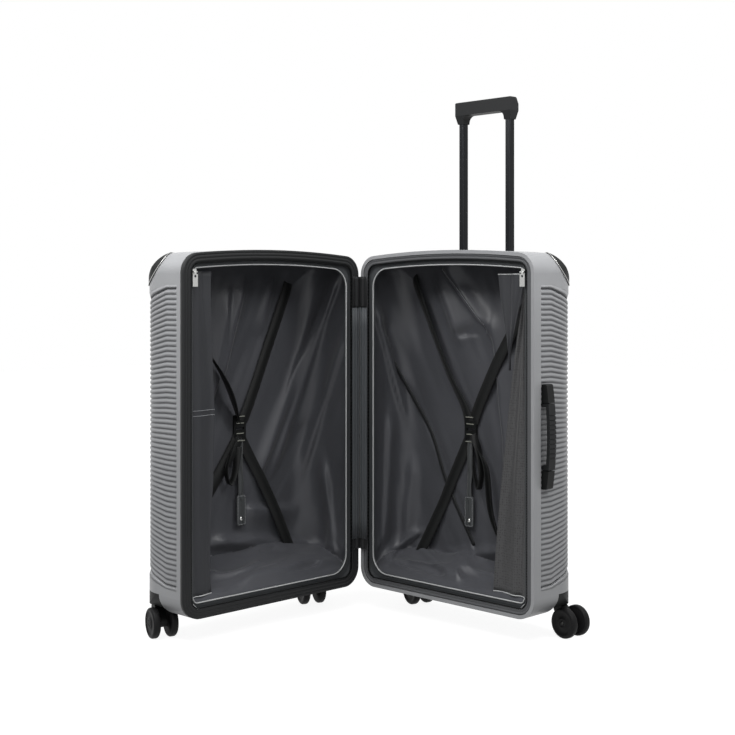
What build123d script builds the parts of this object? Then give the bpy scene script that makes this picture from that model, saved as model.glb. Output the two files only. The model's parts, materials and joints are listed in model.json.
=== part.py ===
from build123d import *
import os
from math import atan2, cos, degrees, radians, sin, sqrt

# A hard shell suitcase standing open like a book, at right angles, on four swivelling twin wheels.
# Millimetres, +Z up, floor at Z = 0. The rear half lies along X and opens towards -Y.
# The front half lies along Y and opens towards +X. Both turn about one upright hinge line.
# Inside a half, "across" runs along its width, "depth" runs from the rim to the back.

os.makedirs("parts", exist_ok=True)

# Case halves
case_width = 465.0
half_depth = 156.0
shell_bottom = 51.0
crown_top = 760.0
crown_rise = 12.0
rim_corner_radius = 40.0
back_corner_radius = 70.0
back_edge_radius = 55.0
wall = 3.0
hinge_offset = 3.0
hinge_x = -167.7
hinge_y = 158.74
seat_gap = 0.3
overcut = 5.0
crossing = 0.1

# Recessed belt round each half
belt_recess = 4.0
belt_front = 22.0
belt_crease = 57.0
belt_bottom = 106.0
belt_top = 689.0
belt_fan = 23.0
rib_inset = 8.0
rib_fan = 32.0
rib_pitch = 10.0
rib_groove_width = 4.0
rib_groove_depth = 1.6
rib_margin = 2.0

# Zip line, rim frame and lining
rim_flange_width = 7.2
rim_flange_depth = 12.0
zip_band_width = 18.0
zip_band_depth = 10.0
zip_band_thickness = 2.5
zip_tape_start = 2.0
frame_inner = 31.0
frame_thickness = 2.5
piping_width = 3.5
lining_gap = 0.5
lining_thickness = 2.0
rear_floor_depth = 118.0
front_floor_depth = 146.0

# Corner guards
guard_thickness = 1.6
guard_reach = 111.0
top_corner_radius = 75.0
top_corner_height = 682.0
top_corner_lap = 2.0

# Casters
caster_side = 33.0
caster_back = 28.0
caster_trail = 26.0
wheel_radius = 30.0
wheel_width = 15.0
wheel_spacing = 36.0
wheel_edge = 3.0
wheel_dish_inner = 9.0
wheel_dish_outer = 22.0
wheel_dish_depth = 1.5
axle_radius = 3.0
axle_fit = 0.05
press_gap = 0.01
well_radius = 60.0
housing_bottom = 66.0
housing_top = 92.0
stem_radius = 6.0
stem_fit = 0.05
stem_length = 22.0
fork_head_radius = 15.0
fork_head_thickness = 3.7
fork_neck_radius = 11.0
fork_hub_radius = 10.0
fork_thickness = 18.0
rear_outer_trail_angle = -5.0
rear_hinge_trail_angle = -16.0
front_outer_trail_angle = -17.0
front_hinge_trail_angle = -22.0

# Pull-out trolley
tube_spacing = 125.0
tube_depth = 139.0
outer_tube_width = 16.0
outer_tube_thickness = 18.6
inner_tube_width = 13.0
inner_tube_thickness = 16.0
tube_corner = 2.5
tube_wall = 1.1
tube_overlap = 55.0
tray_half_width = 86.0
tray_start = 121.0
tray_bottom = 712.0
tray_wall = 4.0
tray_floor = 6.0
trolley_travel = 305.0
grip_top = 1076.0
grip_leg_height = 46.0
grip_bar_height = 28.0
grip_shoulder = 12.5
grip_collar = 1.4
grip_depth = 26.0
grip_rounding = 3.0
grip_loop_radius = 12.0
grip_bevel_depth = 7.5
grip_bevel_height = 14.0
grip_roof = 4.0
grip_cavity_depth = 11.0
grip_cavity_end = 5.0
cover_thickness = 3.0
button_length = 40.0
button_depth = 8.0
button_rise = 0.8
button_gap = 0.3
button_edge = 0.6
bridge_height = 6.0
bridge_drop = 6.0
rod_radius = 2.0
foot_height = 24.0
foot_bracket_bottom = 70.0
foot_bracket_top = 112.0
foot_bracket_margin = 8.0
tube_bottom = 92.0

# Side carry handle on the outer wall of the rear half
handle_height = 400.0
handle_length = 200.0
handle_depth = 36.0
handle_width = 20.0
handle_bow = 22.0
handle_end_height = 14.0
handle_thickness = 7.0
handle_lift = 7.0
cap_length = 35.0
cap_rounding = 4.0
cap_roof = 2.4
cap_side = 2.4
handle_foot = 3.0
handle_riser = 6.0
handle_end_gap = 1.0
handle_cap_gap = 2.0
handle_grooves = 10
handle_groove_pitch = 9.0
handle_groove_radius = 1.5

# Packing straps, buckles and tabs
strap_width = 25.0
strap_thickness = 1.5
strap_centre_across = 212.0
strap_centre_height = 389.0
strap_top_inset = 82.0
strap_top_height = 680.0
strap_bottom_inset = 84.0
strap_bottom_height = 122.0
buckle_width = 32.0
buckle_height = 58.0
buckle_thickness = 4.0
buckle_slot_height = 5.0
buckle_slot_width = 22.0
tab_width = 24.0
tab_length = 62.0
tab_gap = 110.0
tab_thickness = 1.6

# Gathered dividers and their zip pulls
divider_top = 710.0
divider_folds = 4
divider_swell = 0.45
divider_thickness = 3.0
front_gather = 55.0
rear_gather_top = 20.0
rear_gather_bottom = 75.0
slider_height = 714.0
slider_length = 12.0
slider_width = 9.0
slider_thickness = 2.5
slider_ear = 2.0
pull_drop = 8.0
pull_length = 20.0
pull_width = 14.0
pull_corner = 4.0
pull_thickness = 1.4
pull_hole_radius = 3.6
pull_pin_radius = 0.8
pull_pin_fit = 0.05
pull_eye_radius = 1.6

# Fabric hinge
strip_leg = 29.0
strip_thickness = 1.8
strip_bottom = 140.0
strip_top = 650.0

crown_radius = ((case_width / 2) ** 2 + crown_rise ** 2) / (2 * crown_rise)
crown_centre = crown_top - crown_radius
rear_frame = Plane((hinge_x + hinge_offset, hinge_y, 0), x_dir=(1, 0, 0), z_dir=(0, 0, 1))
front_frame = Plane((hinge_x, hinge_y - hinge_offset - case_width, 0), x_dir=(0, 1, 0), z_dir=(0, 0, 1))
axle_height = wheel_radius
housing_radius = well_radius - seat_gap
grip_bottom = grip_top - grip_leg_height
tube_centre = case_width / 2
lining_inset = belt_recess + wall + lining_gap
frame_start = zip_band_depth + seat_gap
divider_bottom = shell_bottom + rim_corner_radius


def front_view(frame, depth):
    """Plane facing out of the open side: x across, y up, its normal against the depth."""
    return Plane(frame.origin + frame.y_dir * depth, x_dir=frame.x_dir, z_dir=-frame.y_dir)


def plan_view(frame, height):
    """Plane seen from above: x across, y into the depth."""
    return Plane(frame.origin + frame.z_dir * height, x_dir=frame.x_dir, z_dir=frame.z_dir)


def side_view(frame, across):
    """Plane seen from the side: x into the depth, y up, its normal across."""
    return Plane(frame.origin + frame.x_dir * across, x_dir=frame.y_dir, z_dir=frame.x_dir)


def corner_view(frame, side):
    """Upright plane through a back corner, x out along the corner's diagonal and y up; side 1 is the far side."""
    edge = case_width if side > 0 else 0
    outwards = (frame.x_dir * side + frame.y_dir).normalized()
    return Plane(spot(frame, edge, half_depth, 0), x_dir=outwards, z_dir=outwards.cross(frame.z_dir))


def spot(frame, across, depth, height):
    """Point of a half, as a place in the whole case."""
    return frame.origin + frame.x_dir * across + frame.y_dir * depth + frame.z_dir * height


def finish(builder, label):
    builder.part.label = label
    export_step(builder.part, "parts/" + label + ".step")


def half_block(frame, inset, start):
    """Filled outline of a half, with every outer face moved in by inset, from depth start to the back.

    Seen from the front it has a crowned top, from above and from the side it has rounded back edges.
    Seen across a top back corner, the corner is rounded too.
    """
    low = shell_bottom + inset
    top = crown_top - inset
    left = inset
    right = case_width - inset
    middle = case_width / 2
    mouth = start - overcut
    back = half_depth - inset
    corner = rim_corner_radius - inset
    crown = crown_radius - inset
    reach = middle - left - corner
    shoulder = crown_centre + sqrt((crown - corner) ** 2 - reach ** 2)
    lean = crown / (crown - corner)
    meet_left = (middle - reach * lean, crown_centre + (shoulder - crown_centre) * lean)
    meet_right = (middle + reach * lean, meet_left[1])
    ball = top_corner_radius - inset
    ball_x = top_corner_lap - top_corner_radius - back_corner_radius * (sqrt(2) - 1)
    ball_edge = ball_x + ball
    ball_top = top_corner_height + ball
    ball_middle = (ball_x + ball / sqrt(2), top_corner_height + ball / sqrt(2))
    with BuildPart() as block:
        with BuildSketch(front_view(frame, start)):
            with BuildLine():
                Line((left, shoulder), (left, low + corner))
                TangentArc((left, low + corner), (left + corner, low), tangent=(0, -1))
                Line((left + corner, low), (right - corner, low))
                TangentArc((right - corner, low), (right, low + corner), tangent=(1, 0))
                Line((right, low + corner), (right, shoulder))
                TangentArc((right, shoulder), meet_right, tangent=(0, 1))
                ThreePointArc(meet_right, (middle, top), meet_left)
                TangentArc((left, shoulder), meet_left, tangent=(0, 1))
            make_face()
        extrude(amount=start - back - overcut)
        with BuildSketch(plan_view(frame, low - overcut)):
            with BuildLine():
                Polyline(
                    (left - crossing, mouth), (left - crossing, back), (right + crossing, back),
                    (right + crossing, mouth), close=True,
                )
            make_face()
            fillet(vertices().group_by(Axis.Y)[-1], back_corner_radius - inset)
        extrude(amount=top - low + 2 * overcut, mode=Mode.INTERSECT)
        with BuildSketch(side_view(frame, left - overcut)):
            with BuildLine():
                Polyline(
                    (mouth, low - crossing), (back + crossing, low - crossing), (back + crossing, top + crossing),
                    (mouth, top + crossing), close=True,
                )
            make_face()
            fillet(vertices().group_by(Axis.X)[-1], back_edge_radius - inset)
        extrude(amount=right - left + 2 * overcut, mode=Mode.INTERSECT)
        for side in (-1, 1):
            with BuildSketch(corner_view(frame, side)):
                with BuildLine():
                    ThreePointArc((ball_edge, top_corner_height), ball_middle, (ball_x, ball_top))
                    Polyline(
                        (ball_x, ball_top), (ball_x, top + overcut), (-case_width, top + overcut),
                        (-case_width, low - overcut), (ball_edge, low - overcut), (ball_edge, top_corner_height),
                    )
                make_face()
            extrude(amount=case_width, both=True, mode=Mode.INTERSECT)
    return block.part


def belt_slab(frame, grow):
    """Everything at the height of the belt: level beside the rim, narrowing from the crease to the back."""
    low = belt_bottom - grow
    top = belt_top + grow
    front = belt_front - grow
    back = half_depth + overcut
    with BuildPart() as slab:
        with BuildSketch(side_view(frame, -overcut)):
            with BuildLine():
                Polyline(
                    (front, low), (belt_crease, low), (half_depth, low + belt_fan), (back, low + belt_fan),
                    (back, top - belt_fan), (half_depth, top - belt_fan), (belt_crease, top), (front, top),
                    close=True,
                )
            make_face()
        extrude(amount=case_width + 2 * overcut)
    return slab.part


def belted_block(frame, inset, start):
    """Filled half with the belt stepped in."""
    outer = half_block(frame, inset, start)
    core = half_block(frame, inset + belt_recess, start)
    slab = belt_slab(frame, inset)
    with BuildPart() as ring:
        add(slab)
        add(core, mode=Mode.SUBTRACT)
    with BuildPart() as block:
        add(outer)
        add(ring.part, mode=Mode.SUBTRACT)
    return block.part


def rib_grooves(frame):
    """Grooves that leave the ribs of the belt standing: level beside the rim, fanning in behind the crease."""
    front = belt_front + rib_margin
    back = half_depth + overcut
    middle = (belt_bottom + belt_top) / 2
    half_zone = (belt_top - belt_bottom) / 2 - rib_inset
    squeeze = 1 - rib_fan / half_zone
    rib_count = int(2 * half_zone / rib_pitch)
    core = half_block(frame, belt_recess + rib_groove_depth, belt_front)
    with BuildPart() as grooves:
        with BuildSketch(side_view(frame, -overcut)):
            for index in range(1, rib_count):
                low = (index - rib_count / 2) * rib_pitch - rib_groove_width / 2
                high = low + rib_groove_width
                with BuildLine():
                    Polyline(
                        (front, middle + low), (belt_crease, middle + low), (half_depth, middle + low * squeeze),
                        (back, middle + low * squeeze), (back, middle + high * squeeze),
                        (half_depth, middle + high * squeeze), (belt_crease, middle + high), (front, middle + high),
                        close=True,
                    )
                make_face()
        extrude(amount=case_width + 2 * overcut)
        add(core, mode=Mode.SUBTRACT)
    return grooves.part


def upright_cylinder(centre, radius, low, high):
    with BuildPart() as post:
        with BuildSketch(Plane((centre.X, centre.Y, low))):
            Circle(radius)
        extrude(amount=high - low)
    return post.part


def local_box(frame, across, depth, height):
    """Block between two values in each direction of a half."""
    with BuildPart() as block:
        with BuildSketch(plan_view(frame, height[0])):
            with BuildLine():
                Polyline(
                    (across[0], depth[0]), (across[1], depth[0]), (across[1], depth[1]), (across[0], depth[1]),
                    close=True,
                )
            make_face()
        extrude(amount=height[1] - height[0])
    return block.part


def caster_places(frame):
    """Swivel axes of a half, low across first."""
    depth = half_depth - caster_back
    return [spot(frame, caster_side, depth, 0), spot(frame, case_width - caster_side, depth, 0)]


def rim_ring(frame, outer, inner, start, depth, label):
    """Flat frame that follows the rim between two insets."""
    hole = half_block(frame, inner, start - overcut)
    keep = local_box(frame, (0, case_width), (start, start + depth), (shell_bottom, crown_top))
    block = half_block(frame, outer, start)
    with BuildPart() as ring:
        add(block)
        add(hole, mode=Mode.SUBTRACT)
        add(keep, mode=Mode.INTERSECT)
    if label:
        finish(ring, label)
    return ring.part


def make_rear_zip_tape():
    """Woven tape of the main zip, sewn behind the rim flange of the rear half."""
    outer = rim_flange_width + seat_gap
    rim_ring(rear_frame, outer, zip_band_width, zip_tape_start, zip_band_thickness, "rear_zip_tape")


def make_front_zip_band():
    """Band of the main zip on the front half: an upright edge that meets the shell and a flat tape turned inwards."""
    edge = rim_ring(front_frame, 0, zip_band_thickness, seat_gap, zip_band_depth - seat_gap, None)
    tape = rim_ring(front_frame, 0, zip_band_width, seat_gap, zip_band_thickness, None)
    with BuildPart() as band:
        add(edge)
        add(tape)
    finish(band, "front_zip_band")


def make_shell(frame, start, label, cutters):
    """Moulded half: ribbed belt, even wall, in-turned rim flange, corners cut out for the casters."""
    outer = belted_block(frame, 0, start)
    cavity = belted_block(frame, wall, start - overcut)
    flange = rim_ring(frame, wall, rim_flange_width, start, rim_flange_depth, None)
    wells = [upright_cylinder(place, well_radius, 0, housing_top + seat_gap) for place in caster_places(frame)]
    grooves = rib_grooves(frame)
    with BuildPart() as shell:
        add(outer)
        add(grooves, mode=Mode.SUBTRACT)
        add(cavity, mode=Mode.SUBTRACT)
        add(flange)
        for well in wells:
            add(well, mode=Mode.SUBTRACT)
        for cutter in cutters:
            add(cutter, mode=Mode.SUBTRACT)
    finish(shell, label)


def make_lining(frame, floor_depth, label):
    """Cloth tray inside a half, stepped over the caster housings, with a flat frame round its mouth."""
    mouth = frame_start + frame_thickness
    outer = half_block(frame, lining_inset, mouth)
    inner = half_block(frame, lining_inset + lining_thickness, mouth - overcut)
    back = (floor_depth + lining_thickness, half_depth)
    behind = local_box(frame, (0, case_width), back, (shell_bottom, crown_top))
    behind_cloth = local_box(frame, (0, case_width), (floor_depth, half_depth), (shell_bottom, crown_top))
    places = caster_places(frame)
    top = housing_top + lining_gap
    radius = housing_radius + lining_gap
    posts = [upright_cylinder(place, radius, 0, top) for place in places]
    cloth_posts = [
        upright_cylinder(place, radius + lining_thickness, 0, top + lining_thickness) for place in places
    ]
    mouth_frame = rim_ring(frame, lining_inset, frame_inner, frame_start, frame_thickness, None)
    with BuildPart() as hollow:
        add(inner)
        add(behind_cloth, mode=Mode.SUBTRACT)
        for post in cloth_posts:
            add(post, mode=Mode.SUBTRACT)
    with BuildPart() as lining:
        add(outer)
        add(behind, mode=Mode.SUBTRACT)
        for post in posts:
            add(post, mode=Mode.SUBTRACT)
        add(hollow.part, mode=Mode.SUBTRACT)
        add(mouth_frame)
    finish(lining, label)


def make_guard(frame, side, label):
    """Thin moulded cap over one top back corner, cut off by a slanting plane."""
    skin = half_block(frame, -guard_thickness, belt_front)
    body = half_block(frame, 0, belt_front - overcut)
    corner = spot(frame, case_width if side > 0 else 0, half_depth, crown_top)
    slant = frame.x_dir * side + frame.y_dir + frame.z_dir
    base = corner - frame.z_dir * guard_reach
    with BuildPart() as guard:
        add(skin)
        add(body, mode=Mode.SUBTRACT)
        split(bisect_by=Plane(base, z_dir=slant), keep=Keep.TOP)
    finish(guard, label)


def make_housing(frame, place, label):
    """Corner block that carries the swivel, flush with the shell outside, bored for the stem."""
    body = half_block(frame, 0, seat_gap)
    post = upright_cylinder(place, housing_radius, housing_bottom, housing_top)
    with BuildPart() as housing:
        add(body)
        add(post, mode=Mode.INTERSECT)
        with Locations((place.X, place.Y, housing_bottom)):
            Cylinder(
                stem_radius + stem_fit, stem_length + seat_gap,
                align=(Align.CENTER, Align.CENTER, Align.MIN), mode=Mode.SUBTRACT,
            )
    finish(housing, label)


def make_caster(place, trail_angle, name):
    """Fork, axle and twin wheels, trailing from the swivel axis at the given angle."""
    heading = Vector(cos(radians(trail_angle)), sin(radians(trail_angle)), 0)
    sideways = Vector(-heading.Y, heading.X, 0)
    hub = place + heading * caster_trail + Vector(0, 0, axle_height)
    web = Plane(place, x_dir=heading, z_dir=-sideways)
    head_low = housing_bottom - seat_gap - fork_head_thickness
    with BuildPart() as fork:
        with BuildSketch(web):
            with Locations((0, head_low + fork_head_thickness / 2 - fork_neck_radius)):
                Circle(fork_neck_radius)
            with Locations((caster_trail, axle_height)):
                Circle(fork_hub_radius)
            make_hull()
        extrude(amount=fork_thickness / 2, both=True)
        with BuildSketch(Plane((place.X, place.Y, head_low))):
            Circle(fork_head_radius)
        extrude(amount=fork_head_thickness)
        with BuildSketch(Plane((place.X, place.Y, head_low + fork_head_thickness))):
            Circle(stem_radius)
        extrude(amount=stem_length + seat_gap)
        with BuildSketch(Plane(hub - sideways * fork_thickness, z_dir=sideways)):
            Circle(axle_radius + axle_fit)
        extrude(amount=2 * fork_thickness, mode=Mode.SUBTRACT)
    finish(fork, name + "_fork")
    reach = wheel_spacing / 2 + wheel_width / 2
    with BuildPart() as axle:
        with BuildSketch(Plane(hub - sideways * reach, z_dir=sideways)):
            Circle(axle_radius)
        extrude(amount=2 * reach)
    finish(axle, name + "_axle")
    bore = axle_radius + press_gap
    with BuildPart() as wheels:
        for side in (1, -1):
            out = sideways * side
            section = Plane(hub + out * (wheel_spacing / 2), x_dir=(0, 0, 1), z_dir=heading * side)
            with BuildSketch(section):
                with BuildLine():
                    Polyline(
                        (bore, -wheel_width / 2), (wheel_radius, -wheel_width / 2),
                        (wheel_radius, wheel_width / 2), (wheel_dish_outer, wheel_width / 2),
                        (wheel_dish_outer - wheel_dish_depth, wheel_width / 2 - wheel_dish_depth),
                        (wheel_dish_inner + wheel_dish_depth, wheel_width / 2 - wheel_dish_depth),
                        (wheel_dish_inner, wheel_width / 2), (bore, wheel_width / 2),
                        close=True,
                    )
                make_face()
                chamfer(vertices().group_by(Axis.X)[-1], wheel_edge)
            revolve(axis=Axis(hub, out))
    finish(wheels, name + "_wheels")


def make_tube(across, width, thickness, low, high, label):
    with BuildPart() as tube:
        with BuildSketch(plan_view(rear_frame, low)):
            with Locations((across, tube_depth)):
                RectangleRounded(width, thickness, tube_corner)
                RectangleRounded(
                    width - 2 * tube_wall, thickness - 2 * tube_wall, tube_corner - tube_wall, mode=Mode.SUBTRACT,
                )
        extrude(amount=high - low)
    finish(tube, label)


def make_trolley():
    """Telescopic handle: fixed tubes, sliding tubes, tray, grip, release button and its push rods."""
    places = {"left": tube_centre - tube_spacing / 2, "right": tube_centre + tube_spacing / 2}
    tray_low = tray_bottom
    inner_low = tray_low - tube_overlap
    inner_high = grip_top - grip_bar_height - 2 * seat_gap
    rod_high = grip_top - grip_roof - bridge_drop - bridge_height
    body = half_block(rear_frame, 0, seat_gap)
    span = (tube_centre - tray_half_width, tube_centre + tray_half_width)
    block = local_box(rear_frame, span, (tray_start, half_depth + overcut), (tray_low, crown_top + overcut))
    pocket = local_box(
        rear_frame, (span[0] + tray_wall, span[1] - tray_wall), (tray_start + tray_wall, half_depth + overcut),
        (tray_low + tray_floor, crown_top + overcut),
    )
    with BuildPart() as tray:
        add(body)
        add(block, mode=Mode.INTERSECT)
        add(pocket, mode=Mode.SUBTRACT)
        with BuildSketch(plan_view(rear_frame, tray_low - overcut)):
            for across in places.values():
                with Locations((across, tube_depth)):
                    RectangleRounded(
                        inner_tube_width + 2 * seat_gap, inner_tube_thickness + 2 * seat_gap, tube_corner + seat_gap,
                    )
        extrude(amount=2 * overcut + tray_floor, mode=Mode.SUBTRACT)
    finish(tray, "trolley_tray")
    inside = half_block(rear_frame, wall + seat_gap, 0)
    bracket_half = tube_spacing / 2 + outer_tube_width / 2 + foot_bracket_margin
    bracket_span = (tube_centre - bracket_half, tube_centre + bracket_half)
    bracket_front = tube_depth - outer_tube_thickness / 2
    bracket_block = local_box(
        rear_frame, bracket_span, (bracket_front, half_depth), (foot_bracket_bottom, foot_bracket_top),
    )
    with BuildPart() as bracket:
        add(inside)
        add(bracket_block, mode=Mode.INTERSECT)
        with BuildSketch(plan_view(rear_frame, tube_bottom)):
            for across in places.values():
                with Locations((across, tube_depth)):
                    RectangleRounded(
                        outer_tube_width + 2 * press_gap, outer_tube_thickness + 2 * press_gap,
                        tube_corner + press_gap,
                    )
        extrude(amount=foot_bracket_top - tube_bottom, mode=Mode.SUBTRACT)
    finish(bracket, "trolley_foot")
    for side, across in places.items():
        make_tube(across, outer_tube_width, outer_tube_thickness, tube_bottom, tray_low, "outer_tube_" + side)
        make_tube(across, inner_tube_width, inner_tube_thickness, inner_low, inner_high, "inner_tube_" + side)
        with BuildPart() as rod:
            with BuildSketch(plan_view(rear_frame, inner_low + foot_height)):
                with Locations((across, tube_depth)):
                    Circle(rod_radius)
            extrude(amount=rod_high - inner_low - foot_height)
        finish(rod, "push_rod_" + side)
    with BuildPart() as feet:
        for across in places.values():
            with BuildSketch(plan_view(rear_frame, inner_low - seat_gap)):
                with Locations((across, tube_depth)):
                    RectangleRounded(
                        inner_tube_width - 2 * tube_wall - 2 * press_gap,
                        inner_tube_thickness - 2 * tube_wall - 2 * press_gap, tube_corner - tube_wall - press_gap,
                    )
            extrude(amount=foot_height - overcut)
    finish(feet, "tube_feet")
    half_grip = tube_spacing / 2 + grip_shoulder
    collar_half = inner_tube_width / 2 + grip_collar
    collar_depth = inner_tube_thickness / 2 + grip_collar
    loop = tube_spacing / 2 - collar_half
    collar_out = tube_spacing / 2 + collar_half
    opening = loop - grip_loop_radius
    bar_low = grip_top - grip_bar_height
    front_face = tube_depth - grip_depth / 2
    back_face = tube_depth + grip_depth / 2
    with BuildPart() as grip:
        with BuildSketch(front_view(rear_frame, tube_depth)):
            with BuildLine():
                Polyline(
                    (tube_centre - collar_out, grip_bottom), (tube_centre - loop, grip_bottom),
                    (tube_centre - loop, bar_low), (tube_centre + loop, bar_low),
                    (tube_centre + loop, grip_bottom), (tube_centre + collar_out, grip_bottom),
                    (tube_centre + half_grip, bar_low), (tube_centre + half_grip, grip_top),
                    (tube_centre - half_grip, grip_top), (tube_centre - half_grip, bar_low), close=True,
                )
            make_face()
            fillet(vertices().group_by(Axis.Y)[-1], grip_rounding)
            inner_corners = vertices().group_by(Axis.Y)[1].sort_by_distance((tube_centre, bar_low, 0))[:2]
            fillet(inner_corners, grip_loop_radius)
        extrude(amount=grip_depth, both=True)
        with BuildSketch(side_view(rear_frame, tube_centre)):
            with BuildLine():
                Polyline(
                    (tube_depth - collar_depth, grip_bottom), (tube_depth + collar_depth, grip_bottom),
                    (back_face, bar_low), (back_face, grip_top - grip_bevel_height),
                    (back_face - grip_bevel_depth, grip_top), (front_face, grip_top), (front_face, bar_low),
                    close=True,
                )
            make_face()
            fillet(vertices().group_by(Axis.Y)[-1], grip_rounding)
        extrude(amount=2 * half_grip, both=True, mode=Mode.INTERSECT)
        with BuildSketch(plan_view(rear_frame, bar_low - overcut)):
            with Locations((tube_centre, tube_depth)):
                Rectangle(2 * opening, grip_cavity_depth)
        extrude(amount=grip_bar_height - grip_roof + overcut, mode=Mode.SUBTRACT)
        with BuildSketch(plan_view(rear_frame, bar_low)):
            with Locations((tube_centre, tube_depth)):
                Rectangle(2 * half_grip - 2 * grip_cavity_end, grip_cavity_depth)
        extrude(amount=grip_bar_height - grip_roof, mode=Mode.SUBTRACT)
        with BuildSketch(plan_view(rear_frame, grip_bottom)):
            for across in places.values():
                with Locations((across, tube_depth)):
                    RectangleRounded(
                        inner_tube_width + 2 * press_gap, inner_tube_thickness + 2 * press_gap,
                        tube_corner + press_gap,
                    )
        extrude(amount=grip_leg_height - grip_bar_height, mode=Mode.SUBTRACT)
        with BuildSketch(plan_view(rear_frame, grip_top - grip_roof)):
            with Locations((tube_centre, tube_depth)):
                RectangleRounded(button_length + 2 * button_gap, button_depth + 2 * button_gap, button_depth / 3)
        extrude(amount=grip_roof, mode=Mode.SUBTRACT)
    finish(grip, "trolley_grip")
    with BuildPart() as cover:
        with BuildSketch(plan_view(rear_frame, bar_low)):
            with Locations((tube_centre, tube_depth)):
                Rectangle(2 * opening - 2 * seat_gap, grip_cavity_depth - 2 * press_gap)
        extrude(amount=cover_thickness)
    finish(cover, "grip_cover")
    bridge_low = rod_high
    with BuildPart() as button:
        with BuildSketch(plan_view(rear_frame, bridge_low)):
            with Locations((tube_centre, tube_depth)):
                Rectangle(tube_spacing + 4 * rod_radius, grip_cavity_depth - 4 * button_gap)
        extrude(amount=bridge_height)
        with BuildSketch(plan_view(rear_frame, bridge_low + bridge_height)):
            with Locations((tube_centre, tube_depth)):
                RectangleRounded(button_length, button_depth, button_depth / 3)
        extrude(amount=bridge_drop + grip_roof + button_rise)
        fillet(faces().sort_by(Axis.Z)[-1].edges(), button_edge)
    finish(button, "release_button")


def make_side_handle():
    """Bowed carry handle whose ends lift inside two caps screwed to the belt; caps and grip share one bow."""
    seat = case_width - belt_recess
    half_length = handle_length / 2
    rise = handle_bow - handle_end_height
    bow_radius = (half_length ** 2 + rise ** 2) / (2 * rise)
    bow_centre = seat + handle_bow - bow_radius

    def bow(drop, reach):
        """Low end, middle and high end of an arc that lies so far under the bow."""
        end = bow_centre + sqrt((bow_radius - drop) ** 2 - reach ** 2)
        middle = bow_centre + bow_radius - drop
        return (end, handle_height - reach), (middle, handle_height), (end, handle_height + reach)

    mouth = half_length - cap_length
    low_end, top, high_end = bow(0, half_length)
    room_low, room_top, room_high = bow(cap_roof, half_length - cap_side)
    for name, side in (("lower", -1), ("upper", 1)):
        with BuildPart() as cap:
            with BuildSketch(front_view(rear_frame, handle_depth)):
                with BuildLine():
                    ThreePointArc(low_end, top, high_end)
                    Polyline(low_end, (seat, low_end[1]), (seat, high_end[1]), high_end)
                make_face()
                fillet(vertices().group_by(Axis.X)[-1], cap_rounding)
            extrude(amount=handle_width / 2, both=True)
            with BuildSketch(front_view(rear_frame, handle_depth)):
                with BuildLine():
                    ThreePointArc(room_low, room_top, room_high)
                    Polyline(room_low, (seat - overcut, room_low[1]), (seat - overcut, room_high[1]), room_high)
                make_face()
            extrude(amount=handle_width / 2 - cap_side, both=True, mode=Mode.SUBTRACT)
            split(bisect_by=Plane((0, 0, handle_height + side * mouth), z_dir=(0, 0, side)), keep=Keep.TOP)
        finish(cap, "handle_cap_" + name)
    foot_low = seat + seat_gap
    foot_half = handle_width / 2 - cap_side - handle_end_gap
    foot_depth = (handle_depth - foot_half, handle_depth + foot_half)
    foot_reach = half_length - cap_side - handle_end_gap
    body_reach = mouth - handle_cap_gap
    inner_reach = body_reach - handle_riser
    outer_low, outer_top, outer_high = bow(0, body_reach)
    inner_low, inner_top, inner_high = bow(handle_thickness, inner_reach)
    groove_span = degrees((handle_grooves - 1) * handle_groove_pitch / bow_radius)
    feet = [
        local_box(rear_frame, (foot_low, foot_low + handle_foot), foot_depth, sorted(ends)) for ends in (
            (handle_height - inner_reach, handle_height - foot_reach),
            (handle_height + inner_reach, handle_height + foot_reach),
        )
    ]
    with BuildPart() as grip:
        with BuildSketch(front_view(rear_frame, handle_depth)):
            with BuildLine():
                ThreePointArc(outer_low, outer_top, outer_high)
                Polyline(outer_high, (foot_low, outer_high[1]), (foot_low, inner_high[1]), inner_high)
                ThreePointArc(inner_high, inner_top, inner_low)
                Polyline(inner_low, (foot_low, inner_low[1]), (foot_low, outer_low[1]), outer_low)
            make_face()
        extrude(amount=handle_width / 2, both=True)
        for foot in feet:
            add(foot)
        with BuildSketch(front_view(rear_frame, handle_depth)):
            with Locations((bow_centre, handle_height)):
                with PolarLocations(bow_radius, handle_grooves, -groove_span / 2, groove_span, endpoint=True):
                    Circle(handle_groove_radius)
        extrude(amount=handle_width / 2 + overcut, both=True, mode=Mode.SUBTRACT)
    finish(grip, "side_handle_grip")


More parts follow.
